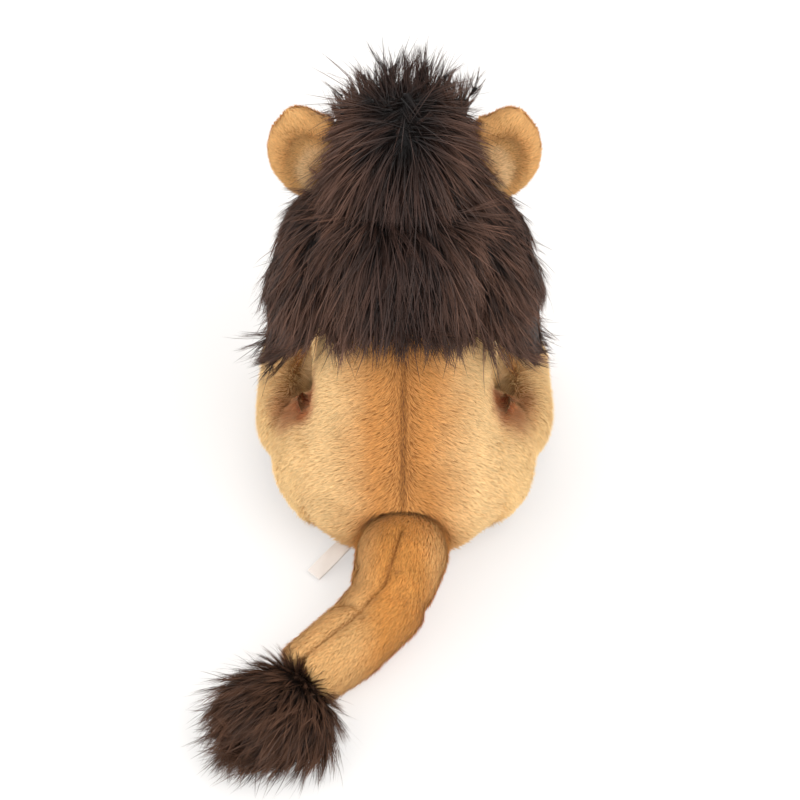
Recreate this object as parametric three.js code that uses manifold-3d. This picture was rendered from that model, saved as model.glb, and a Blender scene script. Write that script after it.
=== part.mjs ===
// A sitting plush lion, built from its sewn covers, their stuffing and its long-pile mane.
// Millimetres, +Z up. The lion faces -Y, so +X is its left. The origin is on the floor under its seat.
import * as THREE from 'three';
import { mergeVertices } from 'three/addons/utils/BufferGeometryUtils.js';
import Module from 'manifold-3d';

const wasm = await Module();
wasm.setup();

// Fits that every piece shares.
const skin = 2.4; // backing cloth with its short pile pressed flat
const gap = 0.3; // room between pieces that touch
const fillGap = 0.6; // room round the stuffing inside its cover
const sweepGap = 1; // room beside what swings past
const neckGap = 1.2; // room round the bell that the head turns on
const floorCut = 0.5; // depth of the flat where a soft form stands
const reach = 400; // longer than the lion, for blocks that cut right through

// How many sides and rings the round shapes have.
const facets = { around: 16, rings: 12, plainAround: 12, plainRings: 8, smallAround: 14, smallRings: 10 };
const moulded = { around: 12, rings: 8, steps: 3 };

// How far pivots, centres and edges stand ahead of what they belong to, above it, out from it and behind it.
const lead = {
  neck: 4, head: 16, muzzle: 42, chin: -2, nose: 22, mane: -10, hem: -18, face: 24, frontRow: 12, backRow: -10,
  bib: 26, shoulder: 10, ankle: 30, paw: 59,
};
const rise = {
  neck: -8, head: 30, muzzle: -15, chin: -13, nose: 10, eye: 9, maneTop: 30, maneBottom: -92, crownLine: 16,
  arch: -36, archBase: -108, bib: -35, shoulder: -42,
};
const spread = { hip: -36, shin: 7, shoulder: -33, paw: -28 };
const behind = { root: 1, fold: 33, mid: 57, end: 81 };

// Torso: its height, its widest half sizes, how far its top leans ahead and where the side seams start and end.
const torso = { height: 188, halfWidth: 66, halfDepth: 57, lean: 40, neckDome: 16, seamFoot: -10, seamTop: 66 };
// Each row: up the height, ahead by the lean, then across and deep by the half sizes.
const torsoShares = [
  [0.13, 0.05, 0.92, 0.93],
  [0.24, 0.08, 1.0, 1.0],
  [0.45, 0.25, 0.82, 0.84],
  [0.66, 0.55, 0.71, 0.68],
  [0.85, 0.86, 0.65, 0.57],
  [0.92, 1.0, 0.58, 0.49],
];

// Neck: its pivot, the ball of fill round it and the bell of room that the head's pieces keep off.
const neck = {
  ahead: torso.lean + lead.neck, up: torso.height + rise.neck, ballRadius: 25, roomRadius: 62, roomDepth: 110,
};
// Each row: out by the room's radius, then down by its depth.
const neckRoomShares = [
  [0.6, 0.0],
  [0.74, 0.11],
  [0.86, 0.24],
  [0.92, 0.34],
  [0.97, 0.46],
  [1.0, 0.63],
  [1.0, 1.0],
];
const turnDegrees = 20;
const nodBackDegrees = 5;
const nodDownDegrees = 12;

// The head sits on the neck, and the face's parts on the head and on each other.
const head = {
  ahead: neck.ahead + lead.head, up: neck.up + rise.head, halfWidth: 46, halfDepth: 51, halfHeight: 46,
};
const muzzle = {
  ahead: head.ahead + lead.muzzle, up: head.up + rise.muzzle, halfWidth: 18, halfDepth: 25, halfHeight: 15,
  apart: 11,
};
const chin = { ahead: muzzle.ahead + lead.chin, up: muzzle.up + rise.chin, radius: 14 };
const nose = {
  ahead: muzzle.ahead + lead.nose, up: muzzle.up + rise.nose, halfWidth: 11, halfDepth: 7, halfHeight: 7,
};
const eye = { side: 21, up: head.up + rise.eye, radius: 6.5, rise: 3.6, shankRadius: 1.8, shankLength: 8 };
const washer = { radius: 6, thickness: 1.4 };

const ear = {
  radius: 30, halfThickness: 8, rimWidth: 7.5, slopeWidth: 4, dishDepth: 3.5, liningThickness: 1.6,
  centreOut: 42, hingeOut: 48, rootLength: 34, tiltDegrees: 15, flexDegrees: 20,
};

// Mane: a bell round the head, open at the face and arched over the back.
const mane = {
  ahead: head.ahead + lead.mane, topUp: head.up + rise.maneTop, bottomUp: head.up + rise.maneBottom,
  halfWidth: 72, halfDepth: 58, topDome: 22, bottomDome: 8, crownLine: head.up + rise.crownLine,
  napeHalfWidth: 36, faceLine: head.ahead + lead.face, archHalfWidth: 64, archUp: head.up + rise.arch,
  archBase: head.up + rise.archBase, hemAhead: head.ahead + lead.hem, hemRise: 28, frontRowHalf: 30,
  backRowHalf: 26,
};
// Each row: up from bottom to top, ahead by the mane's own place, then across and deep by the half sizes.
const maneShares = [
  [0.0, 0.55, 1.05, 0.8],
  [0.22, 0.64, 1.06, 0.97],
  [0.44, 0.8, 1.0, 1.04],
  [0.66, 1.0, 0.91, 1.0],
  [0.85, 1.12, 0.75, 0.88],
  [1.0, 1.18, 0.56, 0.72],
];
const lock = { length: 30, radius: 7, sink: 6 };
// Each row: across and deep by a lock's radius, at its middle and at its tip.
const lockShares = [[0.8, 0.6], [0.2, 0.2]];
// Rows of locks: the height above the hem by what is left of the bell, from one angle to another and the slope.
const napeRows = [
  { aboveShare: 0, fromDegrees: 62, toDegrees: 118, count: 5, slopeShare: -2.4 },
  { aboveShare: 0.4, fromDegrees: 68, toDegrees: 112, count: 3, slopeShare: -1.2 },
];
const sideRows = [
  { aboveShare: 0, fromDegrees: -30, toDegrees: 42, count: 5, slopeShare: -1.4 },
  { aboveShare: 0.3, fromDegrees: -34, toDegrees: 40, count: 4, slopeShare: -1 },
];
const crownRows = [
  { ahead: head.ahead + lead.frontRow, halfWidth: mane.frontRowHalf, count: 6, fanShare: 0.45 },
  { ahead: head.ahead + lead.backRow, halfWidth: mane.backRowHalf, count: 5, fanShare: 0.45 },
];
const bib = {
  ahead: neck.ahead + lead.bib, up: neck.up + rise.bib, halfWidth: 17.5, halfDepth: 22, halfHeight: 27,
};

const foreleg = {
  shoulderAhead: neck.ahead + lead.shoulder, shoulderUp: neck.up + rise.shoulder,
  shoulderSide: torso.halfWidth + spread.shoulder, shoulderRadius: 20, seatDepth: 4, wristUp: 62,
  pawSide: torso.halfWidth + spread.paw, ankleAhead: neck.ahead + lead.ankle, radius: 18, wristRadius: 16,
  pawAhead: neck.ahead + lead.paw, pawHalfWidth: 18.5, pawHalfHeight: 14.5,
};
const hindLeg = {
  hipSide: torso.halfWidth + spread.hip, hipAhead: 7, thighReach: 47, thighHalfDepth: 45, thighHalfHeight: 45,
  innerSide: 32, shinSide: torso.halfWidth + spread.shin, kneeAhead: 56, kneeUp: 37, toeAhead: 122, shinHalfWidth: 15,
  shinHalfHeight: 24, kneeDome: 48, pawHalfWidth: 16, pawHalfHeight: 15, liftDegrees: 20,
};

// Tail: its pivots at the rump and at the fold, then its way along the floor.
const tail = {
  rootBack: torso.halfDepth + behind.root, rootUp: 32, rootRadius: 26.5, foldRadius: 22, endRadius: 19,
  swingDegrees: 25, foldSide: 9, foldBack: torso.halfDepth + behind.fold, midSide: 27,
  midBack: torso.halfDepth + behind.mid, endSide: 53, endBack: torso.halfDepth + behind.end,
};
const tuft = { length: 44, turnSide: 20, halfWidth: 32, halfHeight: 23, locks: 7, lockLength: 24, lockRadius: 7 };
const tuftShares = { root: 0.7, fan: 0.9, tipAcross: 0.5, tipDeep: 0.33 };
const label = {
  width: 10, ply: 0.35, fold: 0.9, rootSide: 28, rootBack: 28, rootUp: 14, tipSide: 52, tipBack: 52, tipUp: 2.5,
};

const colours = {
  flank: '#dfb377', belly: '#e3b67b', cream: '#ead9b8', maneDark: '#2b1e1a', nose: '#241a17', eye: '#5a3216',
  fill: '#f3f1ea', white: '#f3e9e2', washer: '#e8e8e6', earRim: '#c9955b', earInner: '#d7ac75',
};

const parts = new THREE.Group();
const left = 1;
const right = -1;
const names = new Map([[left, 'left'], [right, 'right']]);
const acrossAxis = new THREE.Vector3(1, 0, 0);
const backAxis = new THREE.Vector3(0, 1, 0);
const upAxis = new THREE.Vector3(0, 0, 1);

// A point by its place across (to the lion's left), ahead of the seat and above the floor.
function place(side, ahead, up) {
  return new THREE.Vector3(side, -ahead, up);
}

function radians(degrees) {
  return THREE.MathUtils.degToRad(degrees);
}

function solidOf(geometry) {
  const bare = geometry.clone();
  bare.deleteAttribute('normal');
  bare.deleteAttribute('uv');
  const merged = mergeVertices(bare);
  const mesh = new wasm.Mesh({
    numProp: 3,
    vertProperties: new Float32Array(merged.attributes.position.array),
    triVerts: new Uint32Array(merged.index.array),
  });
  return new wasm.Manifold(mesh);
}

function geometryOf(solid) {
  const mesh = solid.getMesh();
  const geometry = new THREE.BufferGeometry();
  geometry.setAttribute('position', new THREE.BufferAttribute(mesh.vertProperties, 3));
  geometry.setIndex(new THREE.BufferAttribute(mesh.triVerts, 1));
  geometry.computeVertexNormals();
  return geometry;
}

function add(name, solid, colour, roughness = 0.95) {
  const material = new THREE.MeshStandardMaterial({ color: colour, roughness, metalness: 0 });
  const mesh = new THREE.Mesh(geometryOf(solid), material);
  mesh.name = name;
  parts.add(mesh);
}

function cut(solid, ...cutters) {
  return cutters.reduce((rest, cutter) => rest.subtract(cutter), solid);
}

function join(solids) {
  return solids.reduce((whole, next) => whole.add(next));
}

// The largest body of a solid, without the crumbs that a cut leaves beside it.
function largest(solid) {
  return solid.decompose().reduce((most, body) => (body.volume() > most.volume() ? body : most));
}

// A block between two opposite corners.
function block(one, other) {
  const size = new THREE.Vector3().subVectors(one, other);
  const middle = new THREE.Vector3().addVectors(one, other).divideScalar(2);
  const box = new THREE.BoxGeometry(Math.abs(size.x), Math.abs(size.y), Math.abs(size.z));
  return solidOf(box.translate(middle.x, middle.y, middle.z));
}

// Turns a shape's up axis to a way and carries it to a point.
function facing(geometry, point, way) {
  geometry.applyQuaternion(new THREE.Quaternion().setFromUnitVectors(upAxis, way));
  return geometry.translate(point.x, point.y, point.z);
}

// Everything on the far side of a point, square to a way.
function beyond(point, way, shift = 0) {
  const box = new THREE.BoxGeometry(reach * 2, reach * 2, reach).translate(0, 0, reach / 2);
  return solidOf(facing(box, point.clone().addScaledVector(way, shift), way));
}

function sideways(side) {
  return acrossAxis.clone().multiplyScalar(side);
}

function turned(geometry, pivot, axis, degrees) {
  const turn = new THREE.Matrix4().makeRotationAxis(axis, radians(degrees));
  geometry.translate(-pivot.x, -pivot.y, -pivot.z);
  geometry.applyMatrix4(turn);
  return geometry.translate(pivot.x, pivot.y, pivot.z);
}

function ellipsoid(centre, across, deep, high, around, rings) {
  const ball = new THREE.SphereGeometry(1, around, rings).rotateX(Math.PI / 2);
  return ball.scale(across, deep, high).translate(centre.x, centre.y, centre.z);
}

function ball(centre, radius, around = facets.around, rings = facets.rings) {
  return ellipsoid(centre, radius, radius, radius, around, rings);
}

// A ball-shaped room whose flats clear a ball of this radius however that turns. At rest the ball's corners face
// the middles of the flats.
function ballRoom(centre, radius, around = facets.around, rings = facets.rings - 1) {
  const flats = Math.cos(Math.PI / around) * Math.cos(Math.PI / rings / 2);
  const room = ball(new THREE.Vector3(), (radius + gap) / flats, around, rings).rotateZ(Math.PI / around);
  return solidOf(room.translate(centre.x, centre.y, centre.z));
}

function curveThrough(points) {
  return new THREE.CatmullRomCurve3(points, false, 'catmullrom');
}

// The middle, the two radii and the way of a stuffed form at a share of its length.
function sectionOf({ stations, level }, share) {
  const spine = curveThrough(stations.map((s) => s.at));
  const size = curveThrough(stations.map((s) => new THREE.Vector3(s.across, s.deep, 0)));
  const way = spine.getTangent(share);
  const across = new THREE.Vector3().crossVectors(level, way).normalize();
  const deep = new THREE.Vector3().crossVectors(way, across).normalize();
  return { centre: spine.getPoint(share), radii: size.getPoint(share), way, across, deep };
}

// A point on a section, at an angle round from its across axis. Swell shrinks it inside a dome.
function edgeOf(section, angle, grow = 0, swell = 1) {
  const point = section.centre.clone();
  point.addScaledVector(section.across, (section.radii.x + grow) * swell * Math.cos(angle));
  return point.addScaledVector(section.deep, (section.radii.y + grow) * swell * Math.sin(angle));
}

function ringAt(section, around, grow, swell) {
  return Array.from({ length: around }, (_, i) => edgeOf(section, (i / around) * Math.PI * 2, grow, swell));
}

// A stuffed form: sections along a curve that swell and taper, with a half-ellipsoid dome past each end.
// Each station is { at, across, deep }. Grow moves the whole surface out, or in when it is below zero.
function stuffed(form, grow = 0) {
  const { startDome, endDome, around, along, domeRings } = form;
  const rings = [];
  const addDome = (share, dome, outward, steps) => {
    const section = sectionOf(form, share);
    for (const step of steps) {
      const angle = (step / domeRings) * (Math.PI / 2);
      const centre = section.centre.clone();
      centre.addScaledVector(section.way, outward * (dome + grow) * Math.cos(angle));
      rings.push(step === 0 ? [centre] : ringAt({ ...section, centre }, around, grow, Math.sin(angle)));
    }
  };
  const steps = Array.from({ length: domeRings + 1 }, (_, i) => i);
  addDome(0, startDome, -1, steps);
  for (let i = 1; i < along; i += 1) rings.push(ringAt(sectionOf(form, i / along), around, grow, 1));
  addDome(1, endDome, 1, steps.reverse());
  return ringMesh(rings);
}

// Joins rings of points into one closed skin. The first and the last ring are single points.
function ringMesh(rings) {
  const faces = [];
  const around = rings[1].length;
  const last = rings.length - 1;
  const at = (ring, i) => 1 + (ring - 1) * around + (i % around);
  const end = 1 + (last - 1) * around;
  for (let i = 0; i < around; i += 1) {
    faces.push(0, at(1, i + 1), at(1, i));
    for (let ring = 1; ring < last - 1; ring += 1) {
      faces.push(at(ring, i), at(ring, i + 1), at(ring + 1, i + 1));
      faces.push(at(ring, i), at(ring + 1, i + 1), at(ring + 1, i));
    }
    faces.push(end, at(last - 1, i), at(last - 1, i + 1));
  }
  const geometry = new THREE.BufferGeometry().setFromPoints(rings.flat());
  geometry.setIndex(faces);
  return geometry;
}

// A form as a solid: fine for the outside of a cover, plain for its inside and its stuffing.
function stuffedSolid(form) {
  const halved = { around: form.around / 2, along: form.along / 2, domeRings: 2 };
  return (grow, fine) => solidOf(stuffed(fine ? form : { ...form, ...halved }, grow));
}

function ellipsoidSolid(centre, across, deep, high) {
  return (grow, fine) => {
    const { around, rings, plainAround, plainRings } = facets;
    const counts = fine ? [around, rings] : [plainAround, plainRings];
    return solidOf(ellipsoid(centre, across + grow, deep + grow, high + grow, ...counts));
  };
}

// A small plump form of half sizes, such as a cheek of the muzzle.
function bulge(centre, { halfWidth, halfDepth, halfHeight }, grow = 0) {
  const { smallAround, smallRings } = facets;
  return solidOf(ellipsoid(
    centre, halfWidth + grow, halfDepth + grow, halfHeight + grow, smallAround, smallRings));
}

// A sewn cover and the fill inside it. The rooms cut the cover, whose hollow is open at them, and the plainer
// fill rooms cut the fill.
function coverAndFill(forms, rooms, fillRooms = rooms) {
  const whole = cut(join(forms.map((form) => form(0, true))), ...rooms);
  const hollow = join(forms.map((form) => form(-skin, false)));
  const fill = join(forms.map((form) => form(-skin - fillGap, false)));
  return { cover: whole.subtract(hollow), fill: cut(fill, ...fillRooms) };
}

// A tapering lock of long pile, bent towards its droop.
function lockOf(root, way, length, radius, droop = new THREE.Vector3()) {
  const start = root.clone().addScaledVector(way, -lock.sink);
  const middle = root.clone().addScaledVector(way, length / 2);
  const tip = root.clone().addScaledVector(way, length).addScaledVector(droop, length / 4);
  const level = Math.abs(way.z) > Math.SQRT1_2 ? backAxis : upAxis;
  const narrowed = [middle, tip].map((at, i) => {
    const [acrossShare, deepShare] = lockShares[i];
    return { at, across: radius * acrossShare, deep: radius * deepShare };
  });
  const stations = [{ at: start, across: radius, deep: radius }, ...narrowed];
  const form = { stations, level, startDome: radius / 2, endDome: radius / 2, around: 5, along: 2, domeRings: 1 };
  return solidOf(stuffed(form));
}

const floor = block(place(-reach, -reach, -reach), place(reach, reach, 0));
const neckPivot = place(0, neck.ahead, neck.up);
const tailRoot = place(0, -tail.rootBack, tail.rootUp);
const headCentre = place(0, head.ahead, head.up);

const torsoForm = {
  stations: torsoShares.map(([up, ahead, across, deep]) => ({
    at: place(0, ahead * torso.lean, up * torso.height - floorCut),
    across: across * torso.halfWidth,
    deep: deep * torso.halfDepth,
  })),
  level: backAxis,
  startDome: torsoShares[0][0] * torso.height,
  endDome: torso.neckDome,
  around: 20,
  along: 8,
  domeRings: 4,
};

// The bell that the torso's top stays inside and the head's pieces stay outside of.
function neckRoom(grow, nod = 0) {
  const profile = neckRoomShares.map(([out, down]) => new THREE.Vector2(
    out * neck.roomRadius + grow, grow - down * neck.roomDepth));
  profile.unshift(new THREE.Vector2(0, grow));
  profile.push(new THREE.Vector2(0, grow - neck.roomDepth));
  const bell = new THREE.LatheGeometry(profile.reverse(), facets.around).rotateX(Math.PI / 2);
  bell.translate(neckPivot.x, neckPivot.y, neckPivot.z);
  return solidOf(turned(bell, neckPivot, acrossAxis, nod));
}

// The torso as the head's pieces see it while the head turns, nodded back.
function torsoSweep() {
  return [-1, -1 / 2, 0, 1 / 2, 1].map((share) => {
    const swung = turned(stuffed(torsoForm, sweepGap), neckPivot, upAxis, share * turnDegrees);
    return solidOf(turned(swung, neckPivot, acrossAxis, nodBackDegrees));
  });
}

const neckSweep = [-nodBackDegrees, nodDownDegrees].map((nod) => neckRoom(neckGap, -nod));
const neckSocket = ballRoom(neckPivot, neck.ballRadius);

function forelegForm(side) {
  const { radius, wristRadius, pawHalfWidth, pawSide, ankleAhead, shoulderSide, shoulderRadius } = foreleg;
  const shoulder = place(side * shoulderSide, foreleg.shoulderAhead, foreleg.shoulderUp);
  const wristAhead = (foreleg.shoulderAhead + ankleAhead) / 2 + foreleg.seatDepth;
  return {
    stations: [
      { at: shoulder, across: radius, deep: shoulderRadius },
      { at: place(side * pawSide, wristAhead, foreleg.wristUp), across: wristRadius, deep: wristRadius },
      { at: place(side * pawSide, ankleAhead, foreleg.pawHalfHeight), across: pawHalfWidth, deep: wristRadius },
    ],
    level: backAxis,
    startDome: shoulderRadius,
    endDome: foreleg.pawHalfHeight,
    around: 14,
    along: 6,
    domeRings: 4,
  };
}

// A round room about a line across the lion, from its inner face outward.
function crossRoom(side, inner, ahead, up, radius) {
  const drum = new THREE.CylinderGeometry(radius, radius, reach, facets.around).rotateZ(Math.PI / 2);
  return solidOf(drum.translate(side * (inner + reach / 2), -ahead, up));
}

const shoulderInner = foreleg.shoulderSide - foreleg.radius + foreleg.seatDepth;
const seatRooms = [neckSocket, ballRoom(tailRoot, tail.rootRadius), floor, beyond(neckPivot, upAxis, -gap)];
const torsoRooms = [...seatRooms, ...[left, right].flatMap((side) => [
  solidOf(stuffed(forelegForm(side), gap)),
  crossRoom(side, shoulderInner - gap, foreleg.shoulderAhead, foreleg.shoulderUp, foreleg.shoulderRadius + sweepGap),
])];
const torsoFillRooms = [...seatRooms, ...[left, right].flatMap((side) => [
  stuffedSolid(forelegForm(side))(skin, false),
  crossRoom(side, shoulderInner - skin, foreleg.shoulderAhead, foreleg.shoulderUp, foreleg.shoulderRadius + skin),
])];

// The half space ahead of the side seams, which run up from the seat to the front of the neck.
function aheadOfSeam(shift) {
  const way = new THREE.Vector3(0, -torso.height, torso.seamFoot - torso.seamTop).normalize();
  return beyond(place(0, torso.seamFoot, 0), way, shift);
}

function buildTorso() {
  const seam = gap / 2;
  const { cover, fill } = coverAndFill([stuffedSolid(torsoForm)], torsoRooms, torsoFillRooms);
  const back = cover.subtract(aheadOfSeam(-seam));
  for (const side of [left, right]) {
    const half = beyond(place(0, 0, 0), sideways(side), seam);
    add(`back_panel_${names.get(side)}`, back.intersect(half), colours.flank);
  }
  add('belly_panel', cover.intersect(aheadOfSeam(seam)), colours.belly);
  add('torso_stuffing', fill, colours.fill);
}

// The long-pile bib on the front of the neck, between the forelegs.
function buildBib() {
  const middle = place(0, bib.ahead, bib.up);
  const chest = bulge(middle, bib);
  const tips = [-1, 0, 1].map((step) => {
    const root = place(step * bib.halfWidth / 2, bib.ahead + bib.halfDepth / 2, bib.up - bib.halfHeight / 2);
    return lockOf(root, place(0, 0, -1), lock.length / 2, lock.radius);
  });
  const ruff = cut(join([chest, ...tips]), solidOf(stuffed(torsoForm, gap)), neckSocket);
  const bounds = beyond(place(-bib.halfWidth, 0, 0), sideways(left)).intersect(
    beyond(place(bib.halfWidth, 0, 0), sideways(right)));
  add('mane_chest', ruff.intersect(neckRoom(0)).intersect(bounds), colours.maneDark);
}

// The folded tag that is sewn in the seat seam, bare of print.
function buildLabel() {
  const root = place(label.rootSide, -label.rootBack, label.rootUp);
  const tip = place(label.tipSide, -label.tipBack, label.tipUp);
  const half = label.fold / 2;
  const inner = half - label.ply;
  const bend = root.distanceTo(tip) - half;
  const fold = new THREE.Shape();
  fold.moveTo(0, inner);
  fold.lineTo(bend, inner);
  fold.absarc(bend, 0, inner, Math.PI / 2, -Math.PI / 2, true);
  fold.lineTo(0, -inner);
  fold.lineTo(0, -half);
  fold.lineTo(bend, -half);
  fold.absarc(bend, 0, half, -Math.PI / 2, Math.PI / 2, false);
  fold.lineTo(0, half);
  const tag = new THREE.ExtrudeGeometry(fold, { depth: label.width, bevelEnabled: false, curveSegments: 4 });
  tag.translate(0, 0, -label.width / 2);
  const way = new THREE.Vector3().subVectors(tip, root).normalize();
  const flat = new THREE.Vector3().crossVectors(way, upAxis).normalize();
  const lift = new THREE.Vector3().crossVectors(flat, way);
  tag.applyMatrix4(new THREE.Matrix4().makeBasis(way, lift, flat));
  const loose = solidOf(tag.translate(root.x, root.y, root.z)).subtract(solidOf(stuffed(torsoForm, gap)));
  add('blank_label', loose, colours.white);
}

function buildForeleg(side) {
  const { pawHalfWidth, pawHalfHeight, ankleAhead, pawSide, pawAhead } = foreleg;
  const pawUp = pawHalfHeight - floorCut;
  const paw = {
    stations: [
      { at: place(side * pawSide, ankleAhead, pawUp), across: pawHalfWidth, deep: pawHalfHeight },
      { at: place(side * pawSide, pawAhead, pawUp), across: pawHalfWidth, deep: pawHalfHeight },
    ],
    level: upAxis,
    startDome: pawHalfHeight,
    endDome: pawHalfHeight,
    around: 12,
    along: 2,
    domeRings: 4,
  };
  const seat = beyond(place(side * shoulderInner, 0, 0), sideways(-side));
  const forms = [stuffedSolid(forelegForm(side)), stuffedSolid(paw)];
  const { cover, fill } = coverAndFill(forms, [seat, floor]);
  add(`foreleg_cover_${names.get(side)}`, cover, colours.flank);
  add(`foreleg_stuffing_${names.get(side)}`, fill, colours.fill);
}

function buildHindLeg(side) {
  const { shinHalfWidth, shinHalfHeight, pawHalfWidth, pawHalfHeight, liftDegrees } = hindLeg;
  const hip = place(side * hindLeg.hipSide, hindLeg.hipAhead, hindLeg.thighHalfHeight - floorCut);
  const thigh = ellipsoidSolid(hip, hindLeg.thighReach, hindLeg.thighHalfDepth, hindLeg.thighHalfHeight);
  const knee = place(side * hindLeg.shinSide, hindLeg.kneeAhead, hindLeg.kneeUp);
  const toe = place(side * hindLeg.shinSide, hindLeg.toeAhead, pawHalfHeight - floorCut);
  const shin = {
    stations: [
      { at: knee, across: shinHalfWidth, deep: shinHalfHeight },
      { at: knee.clone().lerp(toe, 1 / 2), across: shinHalfWidth, deep: (shinHalfHeight + pawHalfHeight) / 2 },
      { at: toe, across: pawHalfWidth, deep: pawHalfHeight },
    ],
    level: upAxis,
    startDome: hindLeg.kneeDome,
    endDome: pawHalfHeight,
    around: 14,
    along: 4,
    domeRings: 4,
  };
  const sweep = (form, grow, lifts) => lifts.map((lift) => (
    solidOf(turned(stuffed(form, grow), hip, acrossAxis, lift))));
  const inner = beyond(place(side * hindLeg.innerSide, 0, 0), sideways(-side));
  const rooms = [inner, floor, ...sweep(torsoForm, sweepGap, [0, liftDegrees / 2, liftDegrees])];
  const plainTorso = { ...torsoForm, along: torsoForm.along / 2, domeRings: 2 };
  const fillRooms = [inner, floor, ...sweep(plainTorso, skin + sweepGap * 2, [0, liftDegrees])];
  const { cover, fill } = coverAndFill([thigh, stuffedSolid(shin)], rooms, fillRooms);
  add(`hind_leg_cover_${names.get(side)}`, largest(cover), colours.flank);
  add(`hind_leg_stuffing_${names.get(side)}`, largest(fill), colours.fill);
}

// The tail in two stretches. Each starts in a ball at its pivot, so it turns in a round seat.
const foldPivot = place(tail.foldSide, -tail.foldBack, tail.foldRadius - floorCut);
const tailBaseForm = {
  stations: [
    { at: tailRoot, across: tail.rootRadius, deep: tail.rootRadius },
    { at: foldPivot, across: tail.foldRadius, deep: tail.foldRadius },
  ],
  level: upAxis,
  startDome: tail.rootRadius,
  endDome: tail.foldRadius,
  around: 16,
  along: 4,
  domeRings: 4,
};
const midRadius = (tail.foldRadius + tail.endRadius) / 2;
const tailEnd = place(tail.endSide, -tail.endBack, tail.endRadius - floorCut);
const tailEndForm = {
  stations: [
    { at: foldPivot, across: tail.foldRadius, deep: tail.foldRadius },
    { at: place(tail.midSide, -tail.midBack, midRadius - floorCut), across: midRadius, deep: midRadius },
    { at: tailEnd, across: tail.endRadius, deep: tail.endRadius },
  ],
  level: upAxis,
  startDome: tail.foldRadius,
  endDome: tail.endRadius,
  around: 16,
  along: 6,
  domeRings: 4,
};

function buildTail() {
  const rim = tail.foldRadius * Math.sin(radians(tail.swingDegrees)) + gap;
  const baseWay = new THREE.Vector3().subVectors(foldPivot, tailRoot).normalize();
  const baseRooms = [floor, beyond(foldPivot, baseWay, -rim), ballRoom(foldPivot, tail.foldRadius)];
  const base = coverAndFill([stuffedSolid(tailBaseForm)], baseRooms);
  add('tail_base_cover', base.cover, colours.flank);
  add('tail_base_stuffing', base.fill, colours.fill);
  const endWay = sectionOf(tailEndForm, 1).way;
  const end = coverAndFill([stuffedSolid(tailEndForm)], [floor, beyond(tailEnd, endWay)]);
  add('tail_end_cover', end.cover, colours.flank);
  add('tail_end_stuffing', end.fill, colours.fill);
  buildTuft(endWay);
}

function buildTuft(way) {
  const tip = place(tail.endSide + tuft.turnSide, -tail.endBack - tuft.length, tuft.halfHeight / 2);
  const form = {
    stations: [
      { at: tailEnd, across: tail.endRadius, deep: tail.endRadius },
      { at: tailEnd.clone().lerp(tip, 1 / 2), across: tuft.halfWidth, deep: tuft.halfHeight },
      { at: tip, across: tuft.halfWidth * tuftShares.tipAcross, deep: tuft.halfHeight * tuftShares.tipDeep },
    ],
    level: upAxis,
    startDome: tail.endRadius / 2,
    endDome: tuft.halfHeight / 2,
    around: 14,
    along: 4,
    domeRings: 2,
  };
  const locks = Array.from({ length: tuft.locks }, (_, i) => {
    const fan = (i / (tuft.locks - 1)) * 2 - 1;
    const middle = sectionOf(form, 1 - Math.abs(fan) / 2);
    const root = middle.centre.clone().addScaledVector(middle.across, fan * middle.radii.x * tuftShares.root);
    const away = middle.way.clone().addScaledVector(middle.across, fan * tuftShares.fan);
    return lockOf(root, away.normalize(), tuft.lockLength, tuft.lockRadius);
  });
  const keep = beyond(tailEnd, way, gap);
  add('tail_tuft', join([solidOf(stuffed(form)), ...locks]).intersect(keep).subtract(floor), colours.maneDark);
}

// Head: its cover, the plastic eyes that clamp through it and the cream muzzle.
const headForm = ellipsoidSolid(headCentre, head.halfWidth, head.halfDepth, head.halfHeight);

// A point on the face and the way out of it.
function facePoint(side, up) {
  const across = side / head.halfWidth;
  const high = (up - head.up) / head.halfHeight;
  const ahead = Math.sqrt(1 - across ** 2 - high ** 2);
  const out = new THREE.Vector3(across / head.halfWidth, -ahead / head.halfDepth, high / head.halfHeight);
  return { point: place(side, head.ahead + ahead * head.halfDepth, up), out: out.normalize() };
}

function rod(radius, low, high, around = moulded.around) {
  const cylinder = new THREE.CylinderGeometry(radius, radius, high - low, around).rotateX(Math.PI / 2);
  return cylinder.translate(0, 0, (low + high) / 2);
}

function lathe(points, around = moulded.around) {
  const profile = points.map(([out, up]) => new THREE.Vector2(out, up));
  return new THREE.LatheGeometry(profile, around).rotateX(Math.PI / 2);
}

function buildEye(side) {
  const { point, out } = facePoint(side * eye.side, eye.up);
  const dome = Array.from({ length: moulded.steps }, (_, i) => {
    const angle = ((i + 1) / (moulded.steps + 1)) * (Math.PI / 2);
    return [eye.radius * Math.cos(angle), gap + eye.rise * Math.sin(angle)];
  });
  const profile = [
    [0, -eye.shankLength], [eye.shankRadius, -eye.shankLength], [eye.shankRadius, gap], [eye.radius, gap],
    ...dome, [0, gap + eye.rise],
  ];
  add(`eye_${names.get(side)}`, solidOf(facing(lathe(profile), point, out)), colours.eye, 0.1);
  const front = -skin - gap;
  const ring = solidOf(facing(rod(washer.radius, front - washer.thickness, front), point, out));
  const hole = solidOf(facing(rod(eye.shankRadius + gap, -reach / 2, 0), point, out));
  add(`eye_washer_${names.get(side)}`, ring.subtract(hole), colours.washer, 0.4);
}

// What an eye needs in the head: a hole for its shank and a pocket for its washer.
function eyeRooms(side) {
  const { point, out } = facePoint(side * eye.side, eye.up);
  const hole = solidOf(facing(rod(eye.shankRadius + gap, -eye.shankLength - gap, eye.radius), point, out));
  const pocket = rod(washer.radius + gap, -skin - gap * 2 - washer.thickness, -skin);
  return [hole, solidOf(facing(pocket, point, out))];
}

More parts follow.
